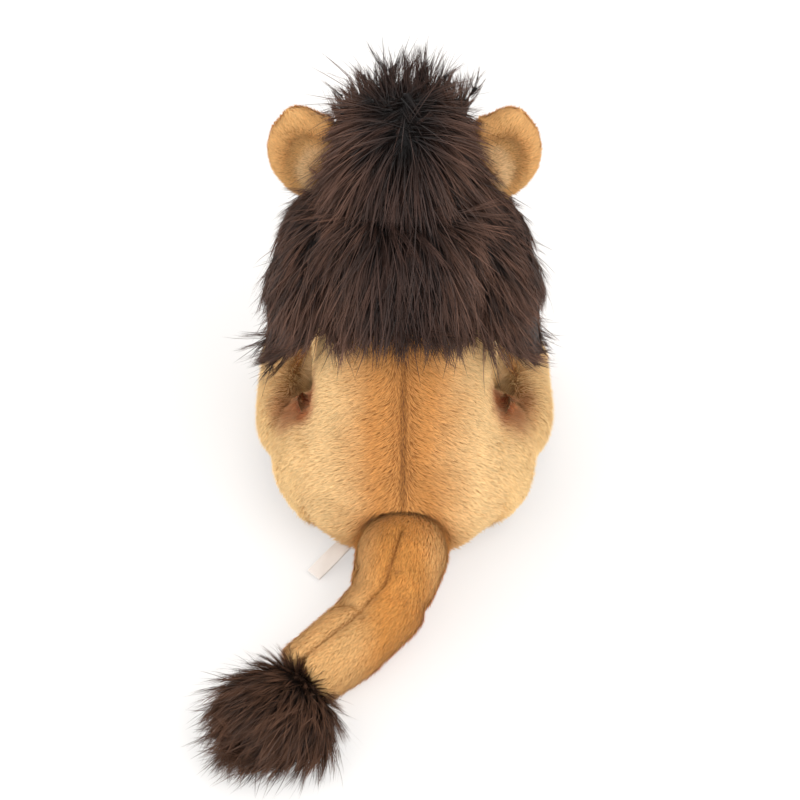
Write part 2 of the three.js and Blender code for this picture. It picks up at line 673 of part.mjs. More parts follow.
function buildHead() {
  const sides = [left, right];
  const rooms = [...neckSweep, neckSocket, ...sides.map(earRootRoom), ...sides.flatMap(eyeRooms)];
  const { cover, fill } = coverAndFill([headForm], rooms);
  add('head_cover', cover, colours.flank);
  add('head_stuffing', fill, colours.fill);
  sides.forEach(buildEye);
  const cheeks = (grow) => sides.map((side) => bulge(
    place(side * muzzle.apart, muzzle.ahead, muzzle.up), muzzle, grow));
  const jaw = solidOf(ball(place(0, chin.ahead, chin.up), chin.radius, moulded.around, moulded.rings));
  add('muzzle', cut(join([...cheeks(0), jaw]), headForm(gap, true), ...neckSweep), colours.cream);
  const button = bulge(place(0, nose.ahead, nose.up), nose);
  add('nose', cut(button, ...cheeks(gap), headForm(gap, true)), colours.nose, 0.3);
}

// An ear's frame: the way out of the head, the line that it folds about and its two centres.
function earFrame(side) {
  const tilt = radians(ear.tiltDegrees);
  const out = new THREE.Vector3(side * Math.cos(tilt), 0, Math.sin(tilt));
  const axis = new THREE.Vector3(-side * Math.sin(tilt), 0, Math.cos(tilt));
  const centre = headCentre.clone().addScaledVector(out, ear.centreOut);
  const hinge = headCentre.clone().addScaledVector(out, ear.hingeOut);
  return { out, axis, centre, hinge };
}

function earRoot(side, radius) {
  const { axis, hinge } = earFrame(side);
  const { steps, around } = moulded;
  const capsule = new THREE.CapsuleGeometry(radius, ear.rootLength, steps, around).rotateX(Math.PI / 2);
  return solidOf(facing(capsule, hinge, axis));
}

function earRootRoom(side) {
  return earRoot(side, (ear.halfThickness + gap) / Math.cos(Math.PI / moulded.around));
}

// The room that an ear sweeps as it folds.
function earSweep(side) {
  const { out, axis, centre, hinge } = earFrame(side);
  const room = ear.halfThickness + gap;
  const radius = (ear.radius + gap) / Math.cos(Math.PI / facets.around);
  const inside = beyond(hinge, out.clone().negate(), room * Math.sin(radians(ear.flexDegrees)));
  const discs = [-1, 0, 1].map((step) => {
    const disc = new THREE.CylinderGeometry(radius, radius, room * 2, facets.around);
    disc.translate(centre.x, centre.y, centre.z);
    return solidOf(turned(disc, hinge, axis, step * ear.flexDegrees));
  });
  return [...discs.map((disc) => disc.subtract(inside)), earRootRoom(side)];
}

function buildEar(side) {
  const { out, centre } = earFrame(side);
  const { radius, halfThickness, rimWidth, slopeWidth, dishDepth } = ear;
  const floorHeight = halfThickness - dishDepth;
  const dishRadius = radius - rimWidth - slopeWidth;
  const roll = [-2, -1, 0, 1, 2].map((step) => {
    const angle = (step / 3) * (Math.PI / 2);
    return [radius - halfThickness + halfThickness * Math.cos(angle), halfThickness * Math.sin(angle)];
  });
  const profile = [
    [0, -floorHeight], [dishRadius, -floorHeight], [radius - halfThickness, -halfThickness], ...roll,
    [radius - halfThickness, halfThickness], [dishRadius, floorHeight], [0, floorHeight],
  ];
  const inside = beyond(earFrame(side).hinge, out.clone().negate());
  const shell = solidOf(facing(lathe(profile, facets.around), centre, backAxis));
  add(`ear_back_${names.get(side)}`, shell.subtract(inside).add(earRoot(side, halfThickness)), colours.earRim);
  const low = -floorHeight - gap - ear.liningThickness;
  const disc = solidOf(facing(rod(dishRadius - gap, low, -floorHeight - gap, facets.smallAround), centre, backAxis));
  const lining = disc.subtract(inside).subtract(earRoot(side, halfThickness + gap));
  add(`ear_lining_${names.get(side)}`, lining, colours.earInner);
}

// Mane: one bell of long pile, parted into crown, nape and sides, each edged with locks.
const maneForm = {
  stations: maneShares.map(([up, ahead, across, deep]) => ({
    at: place(0, ahead * mane.ahead, mane.bottomUp + up * (mane.topUp - mane.bottomUp)),
    across: across * mane.halfWidth,
    deep: deep * mane.halfDepth,
  })),
  level: backAxis,
  startDome: mane.bottomDome,
  endDome: mane.topDome,
  around: 18,
  along: 5,
  domeRings: 3,
};

// The share of the bell's height where its hem runs at an angle round it: over the arch, then along the slope.
function hemShare(angle) {
  const across = Math.abs(Math.cos(angle)) * mane.halfWidth / mane.archHalfWidth;
  const arch = mane.archBase + (mane.archUp - mane.archBase) * Math.sqrt(Math.max(0, 1 - across ** 2));
  const ahead = mane.hemAhead / 2 - Math.sin(angle) * mane.halfDepth;
  const slope = mane.bottomUp + (ahead - mane.hemAhead) * mane.hemRise / (mane.faceLine - mane.hemAhead);
  const up = Math.max(mane.bottomUp, Math.sin(angle) > 0 ? arch : slope);
  return (up + lock.radius - mane.bottomUp) / (mane.topUp - mane.bottomUp);
}

// A row of locks round the bell, from one angle to another, at a share of its height above the hem.
function lockRow({ aboveShare, fromDegrees, toDegrees, count, slopeShare }, turn = (degrees) => degrees) {
  return Array.from({ length: count }, (_, i) => {
    const angle = radians(turn(fromDegrees + ((toDegrees - fromDegrees) * i) / (count - 1)));
    const hem = hemShare(angle);
    const section = sectionOf(maneForm, hem + (1 - hem) * aboveShare);
    const root = edgeOf(section, angle, -lock.radius / 2);
    const out = root.clone().sub(section.centre).setZ(0).normalize();
    const way = out.clone().addScaledVector(upAxis, slopeShare).normalize();
    return lockOf(root, way, lock.length, lock.radius, place(0, 0, -1));
  });
}

// A row of locks across the crown, standing up and fanned forward and to the sides.
function crownRow({ ahead, halfWidth, count, fanShare }) {
  return Array.from({ length: count }, (_, i) => {
    const fan = (i / (count - 1)) * 2 - 1;
    const drop = (1 - Math.cos(fan)) * mane.topDome;
    const root = place(fan * halfWidth, ahead, mane.topUp + mane.topDome / 2 - drop);
    const way = place(fan * fanShare, fanShare, 1).normalize();
    return lockOf(root, way, lock.length, lock.radius);
  });
}

function buildMane() {
  const arch = new THREE.CylinderGeometry(1, 1, reach, facets.around);
  arch.scale(mane.archHalfWidth, 1, mane.archUp - mane.archBase).translate(0, 0, mane.archBase);
  const hemPoint = place(0, mane.hemAhead, mane.bottomUp);
  const hemWay = place(0, mane.hemRise, mane.hemAhead - mane.faceLine).normalize();
  const obstacles = [
    headForm(gap, true), neckSocket, ...neckSweep, ...torsoSweep(), ...[left, right].flatMap(earSweep),
  ];
  const bell = cut(solidOf(stuffed(maneForm)), solidOf(arch), beyond(hemPoint, hemWay));
  const face = beyond(place(0, mane.faceLine, 0), place(0, 1, 0));
  const aboveCrown = beyond(place(0, 0, mane.crownLine), upAxis, gap / 2);
  const belowCrown = beyond(place(0, 0, mane.crownLine), place(0, 0, -1), gap / 2);
  const finish = (name, form) => add(name, largest(cut(form, ...obstacles)), colours.maneDark);

  const crownLocks = crownRows.flatMap(crownRow);
  finish('mane_crown', join([bell.intersect(aboveCrown), ...crownLocks]).subtract(face));

  const besideNape = [left, right].map((side) => beyond(place(side * mane.napeHalfWidth, 0, 0), sideways(side)));
  const napeLocks = napeRows.flatMap((row) => lockRow(row));
  const nape = join([bell.intersect(beyond(neckPivot, place(0, -1, 0))), ...napeLocks]);
  finish('mane_nape', cut(nape.intersect(belowCrown), ...besideNape));

  for (const side of [left, right]) {
    const half = beyond(place(side * mane.napeHalfWidth, 0, 0), sideways(side), gap);
    const turn = (degrees) => (side === left ? degrees : 180 - degrees);
    const locks = sideRows.flatMap((row) => lockRow(row, turn));
    const sideBell = bell.intersect(belowCrown).intersect(half).subtract(face);
    finish(`mane_side_${names.get(side)}`, join([sideBell, ...locks]).intersect(half).intersect(belowCrown));
  }
}

buildTorso();
buildBib();
buildLabel();
add('neck_wad', solidOf(ball(neckPivot, neck.ballRadius)), colours.fill);
for (const side of [left, right]) {
  buildForeleg(side);
  buildHindLeg(side);
  buildEar(side);
}
buildTail();
buildHead();
buildMane();

export default parts;
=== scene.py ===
"""Looks of a sitting plush lion: stuffed skins, short pile, shaggy mane, plastic eyes, label and studio.

Everything is in metres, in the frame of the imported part: the lion faces -Y and its left is +X.
"""

import logging
import math
from dataclasses import dataclass, field
from enum import Enum
from functools import cache
from typing import Any, Callable, Iterable, Sequence

import bmesh
import bpy
import numpy as np
from mathutils import Matrix, Vector, noise


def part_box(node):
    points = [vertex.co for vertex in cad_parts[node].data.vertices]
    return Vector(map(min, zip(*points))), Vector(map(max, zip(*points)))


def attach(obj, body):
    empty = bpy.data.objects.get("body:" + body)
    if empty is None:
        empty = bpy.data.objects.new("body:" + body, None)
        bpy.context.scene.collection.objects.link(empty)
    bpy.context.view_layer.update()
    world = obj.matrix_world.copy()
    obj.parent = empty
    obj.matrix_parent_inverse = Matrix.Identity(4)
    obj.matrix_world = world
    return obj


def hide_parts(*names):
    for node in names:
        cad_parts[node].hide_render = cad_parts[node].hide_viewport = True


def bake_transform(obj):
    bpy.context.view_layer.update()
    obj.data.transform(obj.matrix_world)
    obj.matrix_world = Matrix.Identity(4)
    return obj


log = logging.getLogger("plush_lion")
MM = 0.001
LOWEST = 0.2 * MM  # nothing of the lion reaches into the floor
WANDER_SEED = 4  # fixes where the brushed locks drift


class Side(Enum):
    """The two sides of the lion, as seen from inside it."""

    LEFT = 1
    RIGHT = -1

    @property
    def label(self) -> str:
        """The side's name in node names."""
        return self.name.lower()

    def place(self, left: Sequence[float]) -> tuple[float, ...]:
        """A place or way on this side, given the one on the left."""
        return (self.value * left[0], *left[1:])


class Strand(Enum):
    """The kinds of strand that a pile is made of."""

    SHORT = "short"
    LOCK = "lock"
    LOOSE = "loose"


# Colours and nodes


def linear(code: str) -> tuple[float, float, float]:
    """Turns a display colour into the linear one that shaders use.

    Args:
        code: Six hex digits.

    Returns:
        Red, green and blue from 0 to 1.
    """
    parts = [int(code[i:i + 2], 16) / 255 for i in (0, 2, 4)]
    return tuple(p / 12.92 if p <= 0.04045 else ((p + 0.055) / 1.055) ** 2.4 for p in parts)


def rgba(code: str) -> tuple[float, float, float, float]:
    """A display colour as an opaque linear one."""
    return (*linear(code), 1.0)


class Graph:
    """Adds nodes to a tree, and links or sets their inputs in the same call."""

    def __init__(self, tree: bpy.types.NodeTree) -> None:
        """Keeps the tree that the nodes go into."""
        self.tree = tree

    def add(self, kind: str, inputs: dict | None = None, **settings: Any) -> bpy.types.Node:
        """Adds one node.

        Args:
            kind: Blender's name of the node type.
            inputs: Input name or number to a value or an output socket.
            settings: Properties of the node.

        Returns:
            The new node.
        """
        node = self.tree.nodes.new(kind)
        for name, value in settings.items():
            setattr(node, name, value)
        self.feed(node, inputs or {})
        return node

    def feed(self, node: bpy.types.Node, inputs: dict) -> None:
        """Links or sets the inputs of a node.

        Args:
            node: The node.
            inputs: Input name or number to a value or an output socket.
        """
        for name, value in inputs.items():
            if isinstance(value, bpy.types.NodeSocket):
                self.tree.links.new(value, node.inputs[name])
            else:
                node.inputs[name].default_value = value

    def math(self, operation: str, *values: Any) -> bpy.types.NodeSocket:
        """Adds a Math node and returns its output."""
        return self.add("ShaderNodeMath", dict(enumerate(values)), operation=operation).outputs[0]

    def vector(self, operation: str, *values: Any) -> bpy.types.NodeSocket:
        """Adds a Vector Math node and returns its vector output."""
        return self.add("ShaderNodeVectorMath", dict(enumerate(values)), operation=operation).outputs[0]

    def scaled(self, vector: bpy.types.NodeSocket, scale: Any) -> bpy.types.NodeSocket:
        """Multiplies a vector by a number."""
        node = self.add("ShaderNodeVectorMath", {0: vector, "Scale": scale}, operation="SCALE")
        return node.outputs[0]

    def mix(self, factor: Any, low: Any, high: Any) -> bpy.types.NodeSocket:
        """Mixes two colours."""
        node = self.add("ShaderNodeMix", {0: factor, 6: low, 7: high}, data_type="RGBA")
        return node.outputs[2]

    def group(self, tree: bpy.types.NodeTree, inputs: dict) -> bpy.types.NodeSocket:
        """Adds a shader group that gives a colour.

        Args:
            tree: The group.
            inputs: Input name to a value or an output socket.

        Returns:
            The group's colour.
        """
        return self.add("ShaderNodeGroup", inputs, node_tree=tree).outputs["Colour"]

    def noise(self, place: bpy.types.NodeSocket, scale: float, detail: float) -> bpy.types.NodeSocket:
        """Adds a noise from 0 to 1 over a place."""
        return self.add("ShaderNodeTexNoise", {"Vector": place, "Scale": scale, "Detail": detail}).outputs[0]

    def centred(self, value: bpy.types.NodeSocket) -> bpy.types.NodeSocket:
        """Shifts a value from 0 to 1 so that its middle is 0."""
        return self.math("SUBTRACT", value, 0.5)

    def smooth_step(self, value: Any, start: Any, end: Any) -> bpy.types.NodeSocket:
        """Rises smoothly from 0 to 1 as a value goes from start to end."""
        node = self.add("ShaderNodeMapRange", {0: value, 1: start, 2: end}, interpolation_type="SMOOTHSTEP")
        return node.outputs[0]


def sockets(tree: bpy.types.NodeTree, direction: str, wanted: Sequence[tuple[str, str]]) -> None:
    """Names a group's sockets.

    Args:
        tree: The group.
        direction: INPUT or OUTPUT.
        wanted: Pairs of a socket's name and its type.
    """
    for name, kind in wanted:
        tree.interface.new_socket(name=name, in_out=direction, socket_type=f"NodeSocket{kind}")


def colour_group(name: str, inputs: Sequence[tuple[str, str]]) -> tuple[Graph, Any, bpy.types.NodeSocket]:
    """Starts a shader group that gives a colour.

    Args:
        name: The group's name.
        inputs: Pairs of an input's name and its type.

    Returns:
        The graph of its nodes, its inputs, and the place on the lion.
    """
    tree = bpy.data.node_groups.new(name, "ShaderNodeTree")
    sockets(tree, "INPUT", inputs)
    sockets(tree, "OUTPUT", [("Colour", "Color")])
    graph = Graph(tree)
    return graph, graph.add("NodeGroupInput").outputs, graph.add("ShaderNodeTexCoord").outputs["Object"]


def new_material(name: str) -> tuple[bpy.types.Material, Graph, bpy.types.Node]:
    """Starts a material.

    Args:
        name: The material's name.

    Returns:
        The material, the graph of its nodes, and its shader.
    """
    material = bpy.data.materials.new(name)
    material.use_nodes = True
    return material, Graph(material.node_tree), material.node_tree.nodes["Principled BSDF"]


# Finishes

TIP_SHARE = 0.75  # how far up a fibre the colour of its tip is reached
COARSE = 24.0  # scales of the noise that makes colours uneven, in waves to the metre
PATCHY = 45.0
FINE = 90.0
SMUDGED = 260.0
FADE = 70 * MM  # how far a band takes to fade in
BAND_EDGE_SHARES = (1.25, 0.35)  # where a band ends and where it is full, against its half width
BAND_WANDER_SHARE = 0.7  # how far a band's edge wanders, against its half width
DULL_SHARE = 0.25  # the plain level of a fibre's gloss
ROUGHER = 0.2  # how much rougher the lightest strands are
SMUDGE_SHARE = 0.3  # how far smudges darken or lighten a moulded part
POLISH_SHARE = 0.7  # how rough it is where it is clean, and how much smudges add
WEAR_SHARE = 0.6
WEAVE_SHADE_SHARE = 0.12  # how much painted shade darkens the hollows of a weave


@cache
def fibre_group() -> bpy.types.NodeTree:
    """Builds the shader group for the colour of a fibre: darker at the root, uneven from fibre to fibre.

    Returns:
        The group, with inputs Root, Tip, Along, Shade and Spread and output Colour.
    """
    inputs = [("Root", "Color"), ("Tip", "Color"), ("Along", "Float"),
              ("Shade", "Float"), ("Spread", "Float")]
    graph, given, place = colour_group("Fibre colour", inputs)
    patches = graph.noise(place, PATCHY, detail=2.0)
    colour = graph.mix(graph.smooth_step(given["Along"], 0.0, TIP_SHARE), given["Root"], given["Tip"])
    uneven = graph.math("ADD", graph.centred(given["Shade"]), graph.centred(patches))
    gain = graph.math("MULTIPLY_ADD", uneven, given["Spread"], 1.0)
    graph.add("NodeGroupOutput", {"Colour": graph.scaled(colour, gain)})
    return graph.tree


@cache
def band_group() -> bpy.types.NodeTree:
    """Builds the shader group for a soft-edged band of another colour down the lion's middle.

    Returns:
        The group, with inputs Edge, Middle, Half width, Strength and Start and output Colour. The band fades
        in behind Start.
    """
    inputs = [("Edge", "Color"), ("Middle", "Color"), ("Half width", "Float"),
              ("Strength", "Float"), ("Start", "Float")]
    graph, given, place = colour_group("Middle band", inputs)
    axes = graph.add("ShaderNodeSeparateXYZ", {0: place}).outputs
    drift = graph.noise(place, COARSE, detail=3.0)
    across = graph.math("DIVIDE", graph.math("ABSOLUTE", axes["X"]), given["Half width"])
    wandered = graph.math("MULTIPLY_ADD", drift, BAND_WANDER_SHARE, -BAND_WANDER_SHARE / 2)
    near = graph.smooth_step(graph.math("ADD", across, wandered), *BAND_EDGE_SHARES)
    behind = graph.smooth_step(graph.math("SUBTRACT", axes["Y"], given["Start"]), 0.0, FADE)
    amount = graph.math("MULTIPLY", graph.math("MULTIPLY", near, behind), given["Strength"])
    graph.add("NodeGroupOutput", {"Colour": graph.mix(amount, given["Edge"], given["Middle"])})
    return graph.tree


@cache
def ring_group() -> bpy.types.NodeTree:
    """Builds the shader group for a disc whose rim has another colour than its middle.

    Returns:
        The group, with inputs Edge, Middle, Centre, Inner, Outer and Uneven and output Colour.
    """
    inputs = [("Edge", "Color"), ("Middle", "Color"), ("Centre", "Vector"),
              ("Inner", "Float"), ("Outer", "Float"), ("Uneven", "Float")]
    graph, given, place = colour_group("Coloured rim", inputs)
    span = graph.add("ShaderNodeVectorMath", {0: place, 1: given["Centre"]}, operation="DISTANCE")
    drift = graph.math("MULTIPLY", graph.centred(graph.noise(place, FINE, detail=2.0)), given["Uneven"])
    edge = graph.math("ADD", span.outputs["Value"], drift)
    rim = graph.smooth_step(edge, given["Inner"], given["Outer"])
    graph.add("NodeGroupOutput", {"Colour": graph.mix(rim, given["Middle"], given["Edge"])})
    return graph.tree


@dataclass(frozen=True)
class Pattern:
    """A second colour in a pile, with its own root and tip."""

    root: str
    tip: str

    def paint(self, graph: Graph, edge: Any, tip: bool) -> bpy.types.NodeSocket:
        """Adds the pattern inside one colour.

        Args:
            graph: The material's nodes.
            edge: The colour round the pattern.
            tip: Whether it is the colour of the tips.

        Returns:
            The colour with its pattern.
        """
        tree, measures = self.shader()
        return graph.group(tree, {"Edge": edge, "Middle": rgba(self.tip if tip else self.root), **measures})

    def shader(self) -> tuple[bpy.types.NodeTree, dict]:
        """The shader group of this kind of pattern, and its measures."""
        raise NotImplementedError


@dataclass(frozen=True)
class Band(Pattern):
    """A band down the middle: its half width, its strength and where it fades in."""

    half_width: float
    strength: float
    start: float

    def shader(self) -> tuple[bpy.types.NodeTree, dict]:
        """The shader group of a band, and its measures."""
        return band_group(), {"Half width": self.half_width, "Strength": self.strength, "Start": self.start}


@dataclass(frozen=True)
class Rim(Pattern):
    """A round middle inside a rim: its centre, where the rim starts and is full, and how uneven it is."""

    centre: tuple[float, float, float]
    inner: float
    outer: float
    uneven: float = 0.0

    def shader(self) -> tuple[bpy.types.NodeTree, dict]:
        """The shader group of a rim, and its measures."""
        return ring_group(), {"Centre": self.centre, "Inner": self.inner, "Outer": self.outer,
                              "Uneven": self.uneven}


@dataclass(frozen=True)
class PileFinish:
    """The finish of a dyed pile: its colours, with any painted shade in its patterns, how uneven it is and
    its sheen.
    """

    name: str
    root: str
    tip: str
    spread: float = 0.32
    sheen: float = 0.6
    roughness: float = 0.6
    patterns: tuple[Pattern, ...] = ()

    def build(self) -> bpy.types.Material:
        """Builds the material.

        Returns:
            A material that reads the strand attributes along and shade, where a mesh has them.
        """
        material, graph, shader = new_material(self.name)
        along = graph.add("ShaderNodeAttribute", attribute_name="along").outputs["Fac"]
        shade = graph.add("ShaderNodeAttribute", attribute_name="shade").outputs["Fac"]
        root, tip = rgba(self.root), rgba(self.tip)
        for pattern in self.patterns:
            root = pattern.paint(graph, root, False)
            tip = pattern.paint(graph, tip, True)
        values = {"Root": root, "Tip": tip, "Along": along, "Shade": shade, "Spread": self.spread}
        colour = graph.group(fibre_group(), values)
        rough = graph.math("MULTIPLY_ADD", shade, ROUGHER, self.roughness)
        graph.feed(shader, {"Base Color": colour, "Roughness": rough, "Specular IOR Level": DULL_SHARE,
                            "Sheen Weight": self.sheen, "Sheen Tint": rgba(self.tip)})
        return material


@dataclass(frozen=True)
class PlasticFinish:
    """The finish of a moulded part: its colour, how rough and how clear it is, and fine wear."""

    name: str
    colour: str
    roughness: float
    coat: float = 0.0
    pattern: Pattern | None = None

    def build(self) -> bpy.types.Material:
        """Builds the material.

        Returns:
            A plastic whose gloss is a little uneven.
        """
        material, graph, shader = new_material(self.name)
        place = graph.add("ShaderNodeTexCoord").outputs["Object"]
        smudge = graph.noise(place, SMUDGED, detail=4.0)
        rough = graph.math("MULTIPLY_ADD", smudge, self.roughness * WEAR_SHARE, self.roughness * POLISH_SHARE)
        base = graph.add("ShaderNodeRGB").outputs[0]
        base.default_value = rgba(self.colour)
        if self.pattern:
            base = self.pattern.paint(graph, rgba(self.colour), True)
        tone = graph.scaled(base, graph.math("MULTIPLY_ADD", smudge, SMUDGE_SHARE, 1 - SMUDGE_SHARE / 2))
        graph.feed(shader, {"Base Color": tone, "Roughness": rough, "Coat Weight": self.coat})
        return material


@dataclass(frozen=True)
class WovenFinish:
    """The finish of a thin woven cloth: warp and weft as fine ridges, in one colour with painted shade in the
    weave's hollows.
    """

    name: str
    colour: str
    thread: float
    height: float
    roughness: float = 0.55
    sheen: float = 0.3
    relief_share: float = 0.6

    def build(self) -> bpy.types.Material:
        """Builds the material.

        Returns:
            A soft satin with fine ridges both ways.
        """
        material, graph, shader = new_material(self.name)
        place = graph.add("ShaderNodeTexCoord").outputs["Object"]
        wave = {"Vector": place, "Scale": 1 / self.thread}
        ridges = [graph.add("ShaderNodeTexWave", wave, bands_direction=way) for way in ("X", "Y")]
        weave = graph.math("MULTIPLY", *(ridge.outputs["Fac"] for ridge in ridges))
        base = graph.add("ShaderNodeRGB").outputs[0]
        base.default_value = rgba(self.colour)
        # Painted shade: the hollows of the weave are darkened.
        tone = graph.scaled(base, graph.math("MULTIPLY_ADD", weave, WEAVE_SHADE_SHARE, 1 - WEAVE_SHADE_SHARE))
        bump = graph.add("ShaderNodeBump", {"Height": weave, "Distance": self.height,
                                            "Strength": self.relief_share})
        graph.feed(shader, {"Base Color": tone, "Normal": bump.outputs[0], "Roughness": self.roughness,
                            "Sheen Weight": self.sheen})
        return material


Finish = PileFinish | PlasticFinish | WovenFinish


@cache
def dyed(finish: Finish) -> bpy.types.Material:
    """A finish's material, built on the first call."""
    return finish.build()


# Where the bands down the middle fade in: on the waist, and ahead of the whole mane.
BACK_START = -50 * MM
MANE_START = -250 * MM
# The hollow between waist, thigh and knee on the left, which the right side mirrors.
HOLLOW = (58 * MM, -24 * MM, 84 * MM)
HOLLOW_DEPTH = 8 * MM
HOLLOW_REACH = 15 * MM
# Painted shade: the pile in these hollows is painted darker, out to the painted shadow that the mane casts
# below its hem.
HOLLOW_SHADES = tuple(Rim(root="7e3814", tip="b4683a", centre=side.place(HOLLOW), inner=17 * MM, outer=37 * MM,
                    uneven=12 * MM) for side in Side)
GOLD = Band(root="9c5f28", tip="cf8b40", half_width=37 * MM, strength=0.85, start=BACK_START)
# A thin darker line down the seam of the back.
SEAM_LINE = Band(root="5e3414", tip="a06428", half_width=2 * MM, strength=0.55, start=BACK_START)
TAIL_GOLD = Band(root="ae6d2f", tip="dd9a4a", half_width=23 * MM, strength=0.9, start=BACK_START)
MANE_DARK = Band(root="080403", tip="2a1b18", half_width=30 * MM, strength=0.7, start=MANE_START)
# The tan piles of the torso and of the legs carry the painted shade of the hollows.
TAN = PileFinish("Tan pile", "c08a52", "edca92", patterns=(GOLD, SEAM_LINE, *HOLLOW_SHADES))
TAIL_TAN = PileFinish("Tan pile of the tail", "b87e44", "e8bb7c", patterns=(TAIL_GOLD,))
LEG_TAN = PileFinish("Tan pile of the legs", "bc864c", "ebc88e", patterns=HOLLOW_SHADES)
CREAM = PileFinish("Cream pile", "c9b48c", "f0e2c4")
MANE_BROWN = PileFinish("Mane pile", "0f0706", "583e32", spread=0.9, sheen=0.1, roughness=0.42,
                        patterns=(MANE_DARK,))
TUFT_BROWN = PileFinish("Tuft pile", "120b08", "5c4030", spread=0.9, sheen=0.1, roughness=0.42)
FILL = PileFinish("Fibre fill", "dddad0", "f6f4ee", spread=0.2)
NOSE = PlasticFinish("Dark nose", "241a17", roughness=0.3, coat=0.2)
WASHER = PlasticFinish("Pale washer", "dcdcd8", roughness=0.4)
SATIN = WovenFinish("White satin", "f3ebe4", thread=0.35 * MM, height=0.05 * MM)


# Skins

SAME_PLACE = 0.001 * MM  # corners nearer than this are merged
SHORTEST = 1e-9  # no way is taken to be shorter than this


def node_mesh(names: Iterable[str]) -> bmesh.types.BMesh:
    """Copies CAD nodes into one mesh.

    Args:
        names: The nodes.

    Returns:
        The joined mesh, its loose triangles merged.
    """
    joined = bmesh.new()
    for name in names:
        joined.from_mesh(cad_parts[name].data)
    bmesh.ops.remove_doubles(joined, verts=joined.verts, dist=SAME_PLACE)
    return joined


def new_object(name: str, mesh: bpy.types.Mesh) -> bpy.types.Object:
    """Links a mesh into the scene.

    Args:
        name: The new object's name.
        mesh: Its mesh.

    Returns:
        The object, at the origin.
    """
    piece = bpy.data.objects.new(name, mesh)
    bpy.context.scene.collection.objects.link(piece)
    return piece


def finished_mesh(piece: bpy.types.Object) -> bpy.types.Mesh:
    """Takes the mesh that an object's modifiers make, and clears them.

    Args:
        piece: The object.

    Returns:
        The plain mesh, which the object now holds.
    """
    graph = bpy.context.evaluated_depsgraph_get()
    mesh = bpy.data.meshes.new_from_object(piece.evaluated_get(graph))
    piece.modifiers.clear()
    piece.data = mesh
    mesh.shade_smooth()
    return mesh


def keep_largest(mesh: bpy.types.Mesh) -> None:
    """Deletes every shell of a mesh but the largest.

    Args:
        mesh: The mesh, which is changed.
    """
    work = bmesh.new()
    work.from_mesh(mesh)
    unseen = set(work.verts)
    shells = []
    while unseen:
        stack = [unseen.pop()]
        shell = set(stack)
        while stack:
            for edge in stack.pop().link_edges:
                for vert in edge.verts:
                    if vert not in shell:
                        shell.add(vert)
                        stack.append(vert)
        unseen -= shell
        shells.append(shell)
    largest = max(shells, key=len)
    bmesh.ops.delete(work, geom=[v for v in work.verts if v not in largest], context="VERTS")
    work.to_mesh(mesh)
    work.free()


def rows(items: bpy.types.bpy_prop_collection, key: str) -> np.ndarray:
    """Reads a vector of each item.

    Args:
        items: Vertices or normals.
        key: The vector's name.

    Returns:
        One row for each item.
    """
    values = np.empty(len(items) * 3, dtype=np.float32)
    items.foreach_get(key, values)
    return values.reshape(-1, 3)


def positions(mesh: bpy.types.Mesh) -> np.ndarray:
    """The places of a mesh's vertices, one row each."""
    return rows(mesh.vertices, "co")


def normals(mesh: bpy.types.Mesh) -> np.ndarray:
    """The normals of a mesh's vertices, one row each."""
    return rows(mesh.vertex_normals, "vector")


def move(mesh: bpy.types.Mesh, points: np.ndarray) -> None:
    """Moves a mesh's vertices to new places."""
    mesh.vertices.foreach_set("co", points.ravel())
    mesh.update()


def off_floor(points: np.ndarray) -> np.ndarray:
    """Lifts the places that would reach into the floor."""
    points[:, 2] = np.maximum(points[:, 2], LOWEST)
    return points


def distance(points: np.ndarray, place: Sequence[float]) -> np.ndarray:
    """How far points are from a place."""
    return np.linalg.norm(points - np.array(place), axis=1)


def unit(ways: np.ndarray) -> np.ndarray:
    """Scales each way to length 1."""
    return ways / np.maximum(np.linalg.norm(ways, axis=-1, keepdims=True), SHORTEST)


def bell(values: np.ndarray, width: float) -> np.ndarray:
    """A smooth bump: 1 at zero, falling to nothing past the width."""
    return np.exp(-(values / width) ** 2)


